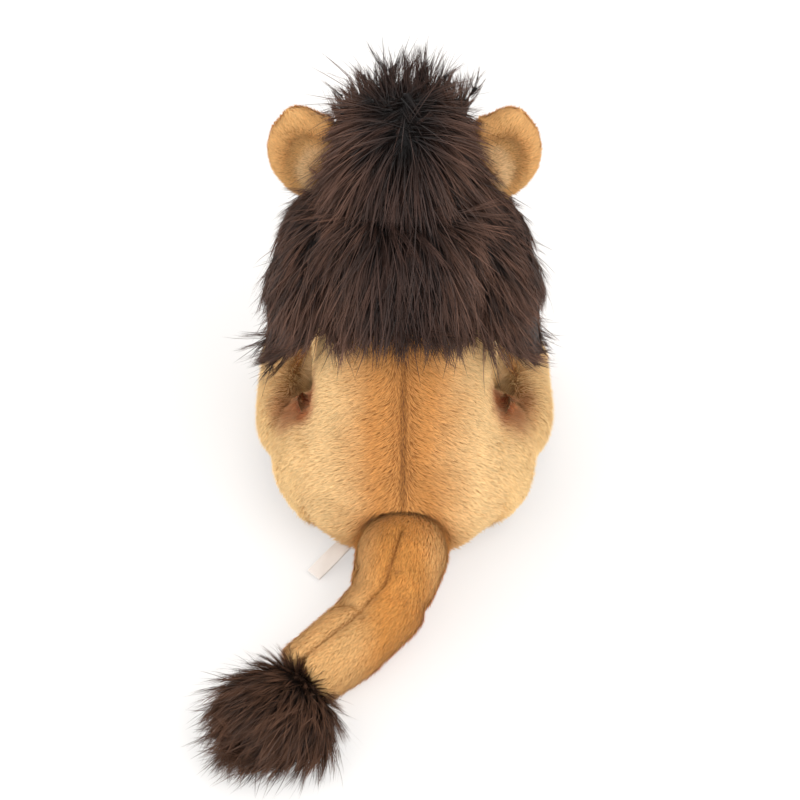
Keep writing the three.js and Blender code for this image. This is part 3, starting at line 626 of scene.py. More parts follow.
@dataclass
class Skin:
    """A stuffed skin grown from CAD nodes: remeshed, smoothed, lumped and grooved along its seams."""

    name: str
    body: str
    nodes: Sequence[str]
    finish: Finish
    slot: str
    voxel: float = 2.5 * MM
    smoothing: int = 6
    lump_height: float = 1.2 * MM
    lump_size: float = 28 * MM
    flat_under: float = 3 * MM
    fill: float | None = 0.7
    inset: float = 0.0
    groove: Callable[[np.ndarray], np.ndarray] | None = None
    swells: Sequence[tuple[Sequence[float], Sequence[float]]] = ()
    bend: tuple[str, str, Sequence[float], Sequence[float]] | None = None
    piece: bpy.types.Object = field(init=False)

    def build(self) -> "Skin":
        """Returns:
            The skin, with its object as its piece.
        """
        source = node_mesh(self.nodes)
        for centre, radii in self.swells:
            form = Matrix.LocRotScale(Vector(centre), None, Vector(radii))
            bmesh.ops.create_icosphere(source, subdivisions=4, radius=1, matrix=form)
        mesh = bpy.data.meshes.new(self.name)
        source.to_mesh(mesh)
        source.free()
        self.piece = new_object(self.name, mesh)
        remesh = self.piece.modifiers.new("Voxels", "REMESH")
        remesh.mode = "VOXEL"
        remesh.voxel_size = self.voxel
        smooth = self.piece.modifiers.new("Smooth", "SMOOTH")
        smooth.iterations = self.smoothing
        mesh = finished_mesh(self.piece)
        keep_largest(mesh)
        self.shape(mesh)
        mesh.shade_smooth()
        mesh.materials.clear()
        mesh.materials.append(dyed(self.finish))
        self.attach(self.piece)
        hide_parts(*self.nodes)
        log.info("%s: %d faces", self.name, len(mesh.polygons))
        return self

    def attach(self, piece: bpy.types.Object) -> None:
        """Lets a piece ride the skin's body, or, where the skin joins two bodies, bakes the piece's place
        into its mesh.

        Args:
            piece: The skin or its pile.
        """
        if self.bend:
            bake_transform(piece)
        else:
            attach(piece, self.body)

    def shape(self, mesh: bpy.types.Mesh) -> None:
        """Raises the lumps of the filling and sinks the seams.

        Args:
            mesh: The skin's mesh, which is changed.
        """
        points = positions(mesh)
        rise = np.array([noise.noise(Vector(p) / self.lump_size) for p in points]) * self.lump_height
        if self.groove:
            rise = rise - self.groove(points)
        rise = np.where(points[:, 2] < self.flat_under, 0, rise)
        points += normals(mesh) * (rise - self.inset)[:, None]
        move(mesh, off_floor(points))


# Pile

# A value or a way for each vertex, from the vertices' places and normals.
Field = Callable[[np.ndarray, np.ndarray], np.ndarray]

# A strand's shape, against its length: how wide it is, how far it bends over and thins out, and how the hairs
# of a lock run.
BLADE_WIDTH_SHARE = 0.1
HAIR_WIDTH_SHARE = 0.012
BLADE_CURL_SHARE = 0.1
LOOSE_CURL_SHARE = 0.15
MORE_CURL_SHARE = 0.12
BLADE_TAPER_SHARE = 0.6
LOCK_TAPER_SHARE = 0.8
LOCK_CURL_SHARES = (0.16, 0.34)
LOCK_WAVE_SHARE = 0.06
LOCK_ROOT_SHARES = (0.02, 0.1)
LOCK_STRAY_SHARE = 0.035
LOCK_LENGTH_SHARES = (0.72, 1.0)
GATHER_POWER = 1.3  # how soon the hairs of a lock run together
SHADE_SEED = 11  # draws how light each strand is
STANDING_ROOM = 4 * MM  # no pile grows lower than this, on what stands on the floor
LEAST_SHARE = 0.02  # the least share of a skin that counts as covered


def fibre_mesh(name: str, points: list, faces: list, along: list) -> bpy.types.Mesh:
    """Makes a strand's mesh.

    Args:
        name: The mesh's name.
        points: The places of its corners.
        faces: The corners of each face.
        along: How far up the strand each corner is, from 0 at the root to 1 at the tip.

    Returns:
        The mesh, with the attribute along.
    """
    mesh = bpy.data.meshes.new(name)
    mesh.from_pydata(points, [], faces)
    mesh.attributes.new("along", "FLOAT", "POINT").data.foreach_set("value", along)
    return mesh


def blade_mesh(name: str, bends: int, width: float, curl: float) -> bpy.types.Mesh:
    """Makes one fibre: a tapering ribbon of unit length that curls towards +X.

    Args:
        name: The mesh's name.
        bends: How many stretches it has.
        width: Its width at the root, against its length.
        curl: How far its tip bends over, against its length.

    Returns:
        The mesh.
    """
    points, along = [], []
    for step in range(bends):
        share = step / bends
        half = width / 2 * (1 - share * share * BLADE_TAPER_SHARE)
        points += [(curl * share ** 2, -half, share), (curl * share ** 2, half, share)]
        along += [share, share]
    points.append((curl, 0, 1))
    along.append(1.0)
    faces = [(2 * i, 2 * i + 1, 2 * i + 3, 2 * i + 2) for i in range(bends - 1)]
    faces.append((2 * bends - 2, 2 * bends - 1, 2 * bends))
    return fibre_mesh(name, points, faces, along)


def lock_mesh(name: str, seed: int, hairs: int, bends: int) -> bpy.types.Mesh:
    """Makes a lock: hairs that start apart, run together and part again a little at the tip.

    Args:
        name: The mesh's name.
        seed: Chooses how the hairs differ.
        hairs: How many hairs it has.
        bends: How many stretches each hair has.

    Returns:
        The mesh, of unit length along +Z and curled towards +X.
    """
    rng = np.random.default_rng(seed)
    points, faces, along = [], [], []
    curl = rng.uniform(*LOCK_CURL_SHARES)
    wave = rng.uniform(-LOCK_WAVE_SHARE, LOCK_WAVE_SHARE)
    for _ in range(hairs):
        turn = rng.uniform(0, math.tau)
        root = rng.uniform(*LOCK_ROOT_SHARES) * np.array([math.cos(turn), math.sin(turn)])
        stray = rng.normal(0, LOCK_STRAY_SHARE, 2)
        length = rng.uniform(*LOCK_LENGTH_SHARES)
        facing = rng.uniform(0, math.pi)
        flat = np.array([math.cos(facing), math.sin(facing)])
        first = len(points)
        for step in range(bends + 1):
            share = step / bends
            gather = (1 - share) ** GATHER_POWER
            middle = root * gather + stray * share ** 2
            middle = middle + np.array([curl * share ** 2, wave * math.sin(share * math.pi)])
            half = HAIR_WIDTH_SHARE / 2 * (1 - share ** 2 * LOCK_TAPER_SHARE)
            if step == bends:
                points.append((*middle, share * length))
                along.append(share)
                break
            for sign in (-1, 1):
                points.append((*(middle + flat * half * sign), share * length))
                along.append(share)
        for step in range(bends - 1):
            a = first + 2 * step
            faces.append((a, a + 1, a + 3, a + 2))
        last = first + 2 * (bends - 1)
        faces.append((last, last + 1, last + 2))
    return fibre_mesh(name, points, faces, along)


class PileTree:
    """The Geometry Nodes tree that plants strands on a skin, brushed along its flow."""

    INPUTS = (
        ("Geometry", "Geometry"), ("Strands", "Collection"), ("Density", "Float"), ("Length", "Float"),
        ("Shortest share", "Float"), ("Stand", "Float"), ("Tangle", "Float"), ("Seed", "Int"),
        ("Finish", "Material"),
    )

    @classmethod
    @cache
    def build(cls) -> bpy.types.NodeTree:
        """Builds the tree on the first call.

        Returns:
            A tree that reads the attributes flow, cover, long and stand of the skin.
        """
        tree = bpy.data.node_groups.new("Planted pile", "GeometryNodeTree")
        tree.is_modifier = True
        sockets(tree, "INPUT", cls.INPUTS)
        sockets(tree, "OUTPUT", [("Geometry", "Geometry")])
        graph = Graph(tree)
        given = graph.add("NodeGroupInput").outputs
        flow = cls.stored(graph, "flow", "FLOAT_VECTOR")
        cover, long, stand = [cls.stored(graph, name, "FLOAT") for name in ("cover", "long", "stand")]
        planted = graph.add("GeometryNodeDistributePointsOnFaces", {
            "Mesh": given["Geometry"],
            "Density": graph.math("MULTIPLY", given["Density"], cover),
            "Seed": given["Seed"],
        }, distribute_method="RANDOM")
        upright = graph.scaled(planted.outputs["Normal"], graph.math("MULTIPLY", given["Stand"], stand))
        stray = cls.random_vector(graph, given["Seed"])
        lean = graph.vector("ADD", flow, graph.scaled(stray, given["Tangle"]))
        way = graph.vector("NORMALIZE", graph.vector("ADD", upright, lean))
        first = graph.add("FunctionNodeAlignRotationToVector", {"Vector": way}, axis="Z").outputs[0]
        turned = graph.add("FunctionNodeAlignRotationToVector", {"Rotation": first, "Vector": lean},
                           axis="X", pivot_axis="Z").outputs[0]
        size = graph.math("MULTIPLY", cls.random_float(graph, given["Seed"], given["Shortest share"]), long)
        size = graph.math("MULTIPLY", size, given["Length"])
        shaded = graph.add("GeometryNodeStoreNamedAttribute", {
            "Geometry": planted.outputs["Points"],
            "Name": "shade",
            "Value": cls.random_float(graph, SHADE_SEED, 0.0),
        }, data_type="FLOAT", domain="POINT").outputs[0]
        strands = graph.add("GeometryNodeCollectionInfo", {
            "Collection": given["Strands"], "Separate Children": True, "Reset Children": True,
        }).outputs[0]
        instances = graph.add("GeometryNodeInstanceOnPoints", {
            "Points": shaded, "Instance": strands, "Pick Instance": True, "Rotation": turned, "Scale": size,
        }).outputs[0]
        real = graph.add("GeometryNodeRealizeInstances", {"Geometry": instances}).outputs[0]
        dressed = graph.add("GeometryNodeSetMaterial", {"Geometry": real, "Material": given["Finish"]})
        graph.add("NodeGroupOutput", {"Geometry": dressed.outputs[0]})
        return tree

    @staticmethod
    def stored(graph: Graph, name: str, kind: str) -> bpy.types.NodeSocket:
        """An attribute that is stored on the skin."""
        return graph.add("GeometryNodeInputNamedAttribute", {"Name": name}, data_type=kind).outputs[0]

    @staticmethod
    def random_vector(graph: Graph, seed: Any) -> bpy.types.NodeSocket:
        """A random vector for each point, from -1 to 1 each way."""
        ends = {0: (-1, -1, -1), 1: (1, 1, 1), "Seed": seed}
        return graph.add("FunctionNodeRandomValue", ends, data_type="FLOAT_VECTOR").outputs[0]

    @staticmethod
    def random_float(graph: Graph, seed: Any, low: Any) -> bpy.types.NodeSocket:
        """A random number for each point, from low to 1."""
        node = graph.add("FunctionNodeRandomValue", {2: low, 3: 1.0, "Seed": seed}, data_type="FLOAT")
        return node.outputs[1]


@cache
def strand_collection(kind: Strand) -> bpy.types.Collection:
    """Builds the variants of a kind of strand on the first call.

    Args:
        kind: Which strand.

    Returns:
        Their collection, which isn't in the scene, for the pile tree to pick from.
    """
    if kind is Strand.LOCK:
        meshes = [lock_mesh(f"lock_{i}", seed=i, hairs=15, bends=5) for i in range(6)]
    elif kind is Strand.LOOSE:
        curls = [LOOSE_CURL_SHARE + MORE_CURL_SHARE * i for i in range(4)]
        meshes = [blade_mesh(f"loose_{i}", 5, HAIR_WIDTH_SHARE, curl) for i, curl in enumerate(curls)]
    else:
        curls = [BLADE_CURL_SHARE * (1 + i) for i in range(3)]
        meshes = [blade_mesh(f"short_{i}", 2, BLADE_WIDTH_SHARE, curl) for i, curl in enumerate(curls)]
    collection = bpy.data.collections.new(kind.value)
    for mesh in meshes:
        collection.objects.link(bpy.data.objects.new(mesh.name, mesh))
    return collection


@dataclass
class Pile:
    """Pile on a skin: how long and dense it is, and how it is brushed."""

    skin: Skin
    count: int
    length: float
    flow: Field
    strand: Strand = Strand.SHORT
    stand: float = 0.7
    tangle: float = 0.25
    shortest_share: float = 0.6
    seed: int = 1
    cover: Field | None = None
    long: Field | None = None
    stands: Field | None = None
    suffix: str = "pile"

    def build(self) -> None:
        """Plants the pile."""
        name = f"{self.skin.name}_{self.suffix}"
        piece = new_object(name, self.skin.piece.data.copy())
        mesh = piece.data
        points, ways = positions(mesh), normals(mesh)
        flow = self.flow(points, ways)
        flow = unit(flow - ways * np.sum(flow * ways, axis=1, keepdims=True))
        ones = np.ones(len(points), dtype=np.float32)
        cover, long, stand = (ones * (rule(points, ways) if rule else 1)
                              for rule in (self.cover, self.long, self.stands))
        self.store(mesh, "flow", "FLOAT_VECTOR", "vector", flow)
        for key, field_values in (("cover", cover), ("long", long), ("stand", stand)):
            self.store(mesh, key, "FLOAT", "value", field_values)
        area = sum(p.area for p in mesh.polygons)
        share = float(np.mean(np.clip(cover, 0, 1)))
        modifier = piece.modifiers.new("Pile", "NODES")
        modifier.node_group = PileTree.build()
        values = {
            "Strands": strand_collection(self.strand), "Finish": dyed(self.skin.finish), "Seed": self.seed,
            "Density": self.count / (area * max(share, LEAST_SHARE)), "Length": self.length,
            "Shortest share": self.shortest_share, "Stand": self.stand, "Tangle": self.tangle,
        }
        for item in modifier.node_group.interface.items_tree:
            if item.in_out == "INPUT" and item.name in values:
                modifier[item.identifier] = values[item.name]
        made = finished_mesh(piece)
        move(made, off_floor(positions(made)))
        self.skin.attach(piece)
        log.info("%s: %d strands' faces", name, len(made.polygons))

    @staticmethod
    def store(mesh: bpy.types.Mesh, name: str, kind: str, key: str, values: np.ndarray) -> None:
        """Stores one value for each vertex under a name."""
        layer = mesh.attributes.new(name, kind, "POINT")
        layer.data.foreach_set(key, np.asarray(values, dtype=np.float32).ravel())


def steady(*way: float) -> Field:
    """A flow that points one way everywhere."""
    return lambda points, ways: np.tile(np.array(way, dtype=np.float32), (len(points), 1))


def outward(*middle: float) -> Field:
    """A flow that points away from a middle."""
    return lambda points, ways: points - np.array(middle, dtype=np.float32)


def above_floor(points: np.ndarray, ways: np.ndarray) -> np.ndarray:
    """Pile everywhere but on what stands on the floor."""
    return (points[:, 2] > STANDING_ROOM).astype(np.float32)


def ramp(values: np.ndarray, start: float, end: float) -> np.ndarray:
    """Rises from 0 to 1 as the values go from start to end."""
    share = np.clip((values - start) / (end - start), 0, 1)
    return share * share * (3 - 2 * share)


def wander(points: np.ndarray, size: float) -> np.ndarray:
    """A vector for each place that drifts slowly from place to place."""
    noise.seed_set(WANDER_SEED)
    return np.array([noise.noise_vector(Vector(p) / size) for p in points])


def path_distance(points: np.ndarray, path: Sequence[Sequence[float]], axes: int = 3) -> np.ndarray:
    """How far places lie from a path.

    Args:
        points: The places.
        path: Points in the path's order.
        axes: 3, or 2 for the distance as seen from above.

    Returns:
        The distance of each place.
    """
    seen = np.asarray(points)[:, :axes]
    best = np.full(len(seen), np.inf)
    corners = [np.array(corner[:axes]) for corner in path]
    for start, end in zip(corners, corners[1:]):
        stretch = end - start
        share = np.clip((seen - start) @ stretch / (stretch @ stretch), 0, 1)
        best = np.minimum(best, np.linalg.norm(seen - start - share[:, None] * stretch, axis=1))
    return best


def hollows(points: np.ndarray) -> np.ndarray:
    """How deep the skins sink in the hollows between waist, thigh and knee.

    Args:
        points: The places.

    Returns:
        The depth at each place.
    """
    mirrored = points.astype(float)
    mirrored[:, 0] = np.abs(mirrored[:, 0])
    return HOLLOW_DEPTH * bell(distance(mirrored, HOLLOW), HOLLOW_REACH)


# Sub-assemblies

# The middle of the tail, from its root over its fold to its tuft.
TAIL_ROOT = (0, 58 * MM, 32 * MM)
TAIL_FOLD = (9 * MM, 90 * MM, 21.5 * MM)
TAIL_MIDDLE = (27 * MM, 114 * MM, 20 * MM)
TAIL_END = (53 * MM, 138 * MM, 18.5 * MM)
TAIL_ROOT_RADIUS = 27 * MM
TAIL_TOP = (0, 52 * MM, 58 * MM)
TUFT = ((74 * MM, 163 * MM, 18.5 * MM), (26 * MM, 30 * MM, 18 * MM))
# The tail's pile turns from the way of its base to the way of its end between these two places, on both sides
# of the fold.
TAIL_BEND = ((3 * MM, 76 * MM, 26 * MM), (19 * MM, 104 * MM, 21 * MM))
# The left ear's centre, which the right one mirrors.
EAR = (40.6 * MM, -60 * MM, 220.9 * MM)
# The thigh turns in a round form of the torso, a little inside it.
THIGH = ((30 * MM, -7 * MM, 44.5 * MM), (46 * MM, 44 * MM, 44 * MM))
# Where the skin creases: behind each thigh, mirrored for the right one, and inside the tail's bend.
THIGH_CREASE = ((60 * MM, 4 * MM, 72 * MM), (58 * MM, 18 * MM, 66 * MM), (54 * MM, 30 * MM, 51 * MM))
TAIL_CREASES = (
    ((34 * MM, 98 * MM, 34 * MM), (20 * MM, 110 * MM, 41 * MM)),
    ((27 * MM, 71 * MM, 35 * MM), (1 * MM, 84 * MM, 48 * MM)),
)


@dataclass
class Torso:
    """The torso's cover in two halves, its seams and its pile."""

    pile_length: float = 7 * MM
    strands: int = 58000
    smoothing: int = 12
    seam_depth: float = 3.2 * MM
    seam_width: float = 3 * MM
    seam_start: float = -30 * MM
    seam_end: float = 14 * MM
    root_share: float = 0.12
    cut_share: float = 0.2
    parted_share: float = 0.35
    thigh_starts: float = 60 * MM
    thigh_hides: float = 68 * MM
    hidden_share: float = 0.6
    front: float = -60 * MM
    front_share: float = 0.45
    under_mane: float = 170 * MM
    under_mane_share: float = 0.1
    parting_width: float = 6 * MM
    downward: float = -0.55
    patch_size: float = 22 * MM
    patchy: float = 0.4

    def build(self) -> None:
        """Builds the skin and its pile."""
        place, radii = THIGH
        thighs = [(side.place(place), radii) for side in Side]
        nodes = ["back_panel_left", "back_panel_right", "belly_panel", "torso_stuffing"]
        skin = Skin("torso_cover", "torso", nodes, TAN, "plush_tan", smoothing=self.smoothing,
                    groove=self.seams, swells=thighs).build()
        for seed, side in enumerate(Side, 3):
            Pile(skin, self.strands, self.pile_length, self.flow, seed=seed, suffix=f"pile_{side.label}",
                 cover=self.half(side), long=self.short_at_seam).build()

    def half(self, side: Side) -> Field:
        """Where the pile of one half grows."""
        return lambda points, ways: (above_floor(points, ways) * (points[:, 0] * side.value > 0)
                                     * self.shown(points))

    def seams(self, points: np.ndarray) -> np.ndarray:
        """How deep the seams down the back and round the tail's root pull the skin in.

        Args:
            points: The places.

        Returns:
            The depth at each place.
        """
        near_tail = bell(distance(points, TAIL_TOP), self.seam_end)
        back = bell(points[:, 0], self.seam_width) * (points[:, 1] > self.seam_start) * (1 - near_tail)
        root = bell(distance(points, TAIL_ROOT) - TAIL_ROOT_RADIUS, self.seam_width) * (points[:, 1] > 0)
        return self.seam_depth * np.maximum(back, self.root_share * root) + hollows(points)

    def short_at_seam(self, points: np.ndarray, ways: np.ndarray) -> np.ndarray:
        """The pile is cut short beside the seams."""
        cut = self.cut_share * self.seams(points) / self.seam_depth
        return 1 - cut - self.parted_share * bell(points[:, 0], 2 * self.seam_width)

    def shown(self, points: np.ndarray) -> np.ndarray:
        """Denser pile behind than in front, and less where the mane and the thighs cover it.

        Args:
            points: The places.

        Returns:
            The share of the pile that each place keeps.
        """
        bare = 1 - self.hidden_share * ramp(np.abs(points[:, 0]), self.thigh_starts, self.thigh_hides)
        behind = np.where(points[:, 1] > self.front, 1.0, self.front_share)
        return bare * behind * np.where(points[:, 2] > self.under_mane, self.under_mane_share, 1.0)

    def flow(self, points: np.ndarray, ways: np.ndarray) -> np.ndarray:
        """Brushed to both sides of the seam, and down.

        Args:
            points: The places.
            ways: The normals there.

        Returns:
            The way of the pile at each place.
        """
        side = np.tanh(points[:, 0] / self.parting_width)
        down = np.full(len(points), self.downward)
        brushed = np.stack([side, np.zeros(len(points)), down], axis=1)
        return brushed + self.patchy * wander(points, self.patch_size)


@dataclass
class HindLeg:
    """A folded hind leg."""

    side: Side
    pile_length: float = 7 * MM
    strands: int = 44000
    brushed: tuple[float, float, float] = (0.5, 0.35, -0.6)
    crease_depth: float = 1.6 * MM
    crease_width: float = 5 * MM

    def build(self) -> None:
        """Builds the skin and its pile."""
        name = self.side.label
        skin = Skin(f"hind_leg_skin_{name}", f"hind_leg_{name}",
                    [f"hind_leg_cover_{name}", f"hind_leg_stuffing_{name}"], LEG_TAN, "plush_tan",
                    groove=self.crease).build()
        Pile(skin, self.strands, self.pile_length, steady(*self.side.place(self.brushed)), seed=7,
             cover=above_floor).build()

    def crease(self, points: np.ndarray) -> np.ndarray:
        """How deep the crease behind the thigh is."""
        path = [self.side.place(corner) for corner in THIGH_CREASE]
        return self.crease_depth * bell(path_distance(points, path), self.crease_width) + hollows(points)


@dataclass
class Foreleg:
    """An upright foreleg."""

    side: Side
    pile_length: float = 6 * MM
    strands: int = 20000
    brushed: tuple[float, float, float] = (0.2, -0.2, -1)

    def build(self) -> None:
        """Builds the skin and its pile."""
        name = self.side.label
        skin = Skin(f"foreleg_skin_{name}", f"foreleg_{name}",
                    [f"foreleg_cover_{name}", f"foreleg_stuffing_{name}"], LEG_TAN, "plush_tan").build()
        Pile(skin, self.strands, self.pile_length, steady(*self.side.place(self.brushed)), seed=9,
             cover=above_floor).build()


@dataclass
class Tail:
    """The tail in two stretches, with its seam, and the tuft."""

    pile_length: float = 6.5 * MM
    strands: int = 52000
    stand: float = 0.5
    seam_depth: float = 4 * MM
    seam_width: float = 2.2 * MM
    crease_width: float = 2.86 * MM
    cut_share: float = 0.8
    sunk: float = 5 * MM
    base_way: tuple[float, float, float] = (0.25, 1, -0.15)
    end_way: tuple[float, float, float] = (0.7, 0.75, -0.1)
    tuft_voxel: float = 6 * MM
    tuft_smoothing: int = 60
    tuft_length: float = 35 * MM
    tuft_locks: int = 1000
    tuft_strays: int = 1200
    collar: float = 22 * MM
    collar_stand: float = 2.5
    shortest: float = 14 * MM
    longest: float = 40 * MM
    short_share: float = 0.55
    longer_share: float = 0.45
    cluster_size: float = 9 * MM
    clustered: float = 0.45
    trailing: float = 0.5

    def build(self) -> None:
        """Builds the tail's skin and the tuft."""
        nodes = [f"tail_{name}_{kind}" for name in ("base", "end") for kind in ("cover", "stuffing")]
        skin = Skin("tail_skin", "tail_end", nodes, TAIL_TAN, "plush_tan", groove=self.drawn_in,
                    bend=("tail_base", "tail_end", *TAIL_BEND)).build()
        Pile(skin, self.strands, self.pile_length, self.flow, seed=13, cover=above_floor, stand=self.stand,
             long=self.short_at_seam).build()
        tuft = Skin("tail_tuft_skin", "tail_end", ["tail_tuft"], TUFT_BROWN, "mane_pile",
                    voxel=self.tuft_voxel, smoothing=self.tuft_smoothing, lump_height=0,
                    swells=(TUFT,)).build()
        shared = {"cover": above_floor, "long": self.longer_at_tip, "stands": self.stands}
        Pile(tuft, self.tuft_locks, self.tuft_length, self.spread, strand=Strand.LOCK, stand=0.4,
             tangle=0.35, shortest_share=0.5, seed=15, **shared).build()
        Pile(tuft, self.tuft_strays, self.tuft_length, self.spread, strand=Strand.LOOSE, stand=0.6,
             tangle=0.5, seed=16, suffix="stray", **shared).build()

    def flow(self, points: np.ndarray, ways: np.ndarray) -> np.ndarray:
        """Brushed along the tail, round its bend."""
        past = ramp(points[:, 1], TAIL_BEND[0][1], TAIL_BEND[1][1])[:, None]
        return (1 - past) * np.array(self.base_way) + past * np.array(self.end_way)

    def seam(self, points: np.ndarray) -> np.ndarray:
        """Finds the seam along the top and the creases of the bend.

        Args:
            points: The places.

        Returns:
            1 on the seam and in the creases, 0 away from them.
        """
        away = path_distance(points, (TAIL_ROOT, TAIL_FOLD, TAIL_MIDDLE, TAIL_END), axes=2)
        seam = bell(away, self.seam_width) * (points[:, 2] > TAIL_FOLD[2])
        creases = [bell(path_distance(points, crease), self.crease_width) for crease in TAIL_CREASES]
        return np.maximum.reduce([seam, *creases])

    def drawn_in(self, points: np.ndarray) -> np.ndarray:
        """How deep the seams, the creases and the stitching at the root pull the skin in."""
        root = bell(distance(points, TAIL_TOP), TAIL_ROOT_RADIUS)
        return self.seam_depth * self.seam(points) + self.sunk * root

    def short_at_seam(self, points: np.ndarray, ways: np.ndarray) -> np.ndarray:
        """The pile is cut short beside the seam."""
        return 1 - self.cut_share * self.seam(points)

    def longer_at_tip(self, points: np.ndarray, ways: np.ndarray) -> np.ndarray:
        """The tuft's hair is short where it starts and long at its tip."""
        grown = ramp(distance(points, TAIL_END), self.shortest, self.longest)
        return self.short_share + self.longer_share * grown

    def stands(self, points: np.ndarray, ways: np.ndarray) -> np.ndarray:
        """The hair stands out where the tuft begins."""
        return 1 + self.collar_stand * bell(distance(points, TAIL_END), self.collar)

    def spread(self, points: np.ndarray, ways: np.ndarray) -> np.ndarray:
        """From the tail's end outward, in uneven clusters.

        Args:
            points: The places.
            ways: The normals there.

        Returns:
            The way of the hair at each place.
        """
        out = unit(points - np.array(TAIL_END))
        on = unit(np.array(TAIL_END) - np.array(TAIL_MIDDLE))
        return out + self.trailing * on + self.clustered * wander(points, self.cluster_size)


@dataclass
class Head:
    """The neck's ball of fill, the head's cover, the muzzle and the plastic parts."""

    pile_length: float = 6 * MM
    strands: int = 18000
    face: float = -60 * MM
    under_mane_share: float = 0.05
    wad_voxel: float = 3 * MM
    muzzle_voxel: float = 1.8 * MM
    muzzle_length: float = 3.5 * MM
    muzzle_strands: int = 7500
    moulded_voxel: float = 0.5 * MM
    moulded_smoothing: int = 5
    eye: tuple[float, float, float] = (22.9 * MM, -107.6 * MM, 219.8 * MM)
    pupil_radius: float = 3.4 * MM
    iris_full: float = 3.8 * MM

    def build(self) -> None:
        """Builds the skins, the eyes and the nose."""
        Skin("neck_wad_skin", "neck", ["neck_wad"], FILL, "fibre_fill", voxel=self.wad_voxel,
             lump_height=0).build()
        skin = Skin("head_skin", "head", ["head_cover", "head_stuffing"], LEG_TAN, "plush_tan").build()
        tip = [(a + b) / 2 for a, b in zip(*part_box("nose"))]
        Pile(skin, self.strands, self.pile_length, outward(*tip), seed=17, cover=self.on_face).build()
        muzzle = Skin("muzzle_skin", "head", ["muzzle"], CREAM, "plush_cream", voxel=self.muzzle_voxel,
                      lump_height=0).build()
        Pile(muzzle, self.muzzle_strands, self.muzzle_length, outward(*tip), seed=19).build()
        self.mould("nose_button", "nose", NOSE, "nose_plastic")
        for side in Side:
            pupil = Rim(root="0b0807", tip="0b0807", centre=side.place(self.eye), inner=self.pupil_radius,
                        outer=self.iris_full)
            amber = PlasticFinish(f"Amber eye {side.label}", "8a4f1c", roughness=0.08, coat=1.0,
                                  pattern=pupil)
            self.mould(f"eye_dome_{side.label}", f"eye_{side.label}", amber, "eye_plastic")
            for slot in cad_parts[f"eye_washer_{side.label}"].material_slots:
                slot.material = dyed(WASHER)

    def mould(self, name: str, node: str, finish: PlasticFinish, slot: str) -> None:
        """Builds a moulded part, smooth and solid.

        Args:
            name: The piece's name.
            node: The CAD node that it replaces.
            finish: Its plastic.
            slot: Its material slot; not used.
        """
        Skin(name, "head", [node], finish, slot, voxel=self.moulded_voxel, smoothing=self.moulded_smoothing,
             lump_height=0, fill=None).build()

    def on_face(self, points: np.ndarray, ways: np.ndarray) -> np.ndarray:
        """Pile on the face, and hardly any under the mane."""
        return (points[:, 1] < self.face).astype(np.float32) + self.under_mane_share


@dataclass
class Ear:
    """A padded ear with its recessed middle."""

    side: Side
    voxel: float = 1.5 * MM
    smoothing: int = 16
    lump_height: float = 0.5 * MM
    grown: float = 1.14
    lifted: float = 10 * MM
    outer_side: float = 60 * MM
    lining_radius: float = 18 * MM
    rim_full: float = 24 * MM
    rim_uneven: float = 6 * MM
    pile_length: float = 5 * MM
    strands: int = 20000
    stand: float = 0.5

    def build(self) -> None:
        """Builds the skin and its pile."""
        name = self.side.label
        centre = self.side.place(EAR)
        rim = Rim(root="bc9060", tip="f0cc98", centre=centre, inner=self.lining_radius,
                  outer=self.rim_full, uneven=self.rim_uneven)
        finish = PileFinish(f"Ear pile {name}", "b47c42", "e8b878", patterns=(rim,))
        skin = Skin(f"ear_skin_{name}", f"ear_{name}", [f"ear_back_{name}", f"ear_lining_{name}"], finish,
                    "plush_ear_rim", voxel=self.voxel, smoothing=self.smoothing,
                    lump_height=self.lump_height).build()
        self.stretch(skin.piece.data, centre)
        Pile(skin, self.strands, self.pile_length, outward(*centre), stand=self.stand, seed=21).build()

    def stretch(self, mesh: bpy.types.Mesh, centre: Sequence[float]) -> None:
        """Plumps the ear up outside its root, as stuffing does.

        Args:
            mesh: The ear's mesh, which is changed.
            centre: The ear's centre.
        """
        points = positions(mesh)
        middle = np.array(centre)
        outside = ramp(np.abs(points[:, 0]), abs(middle[0]), self.outer_side)[:, None]
        larger = middle + (points - middle) * self.grown + np.array([0, 0, self.lifted])
        points += (larger - points) * outside
        move(mesh, points)


@dataclass(frozen=True)
class Panel:
    """One panel of the mane: its node, how many locks it has and how its skin is made."""

    node: str
    locks: int
    voxel: float = 4.5 * MM
    smoothing: int = 20
    inset: float = 0.0


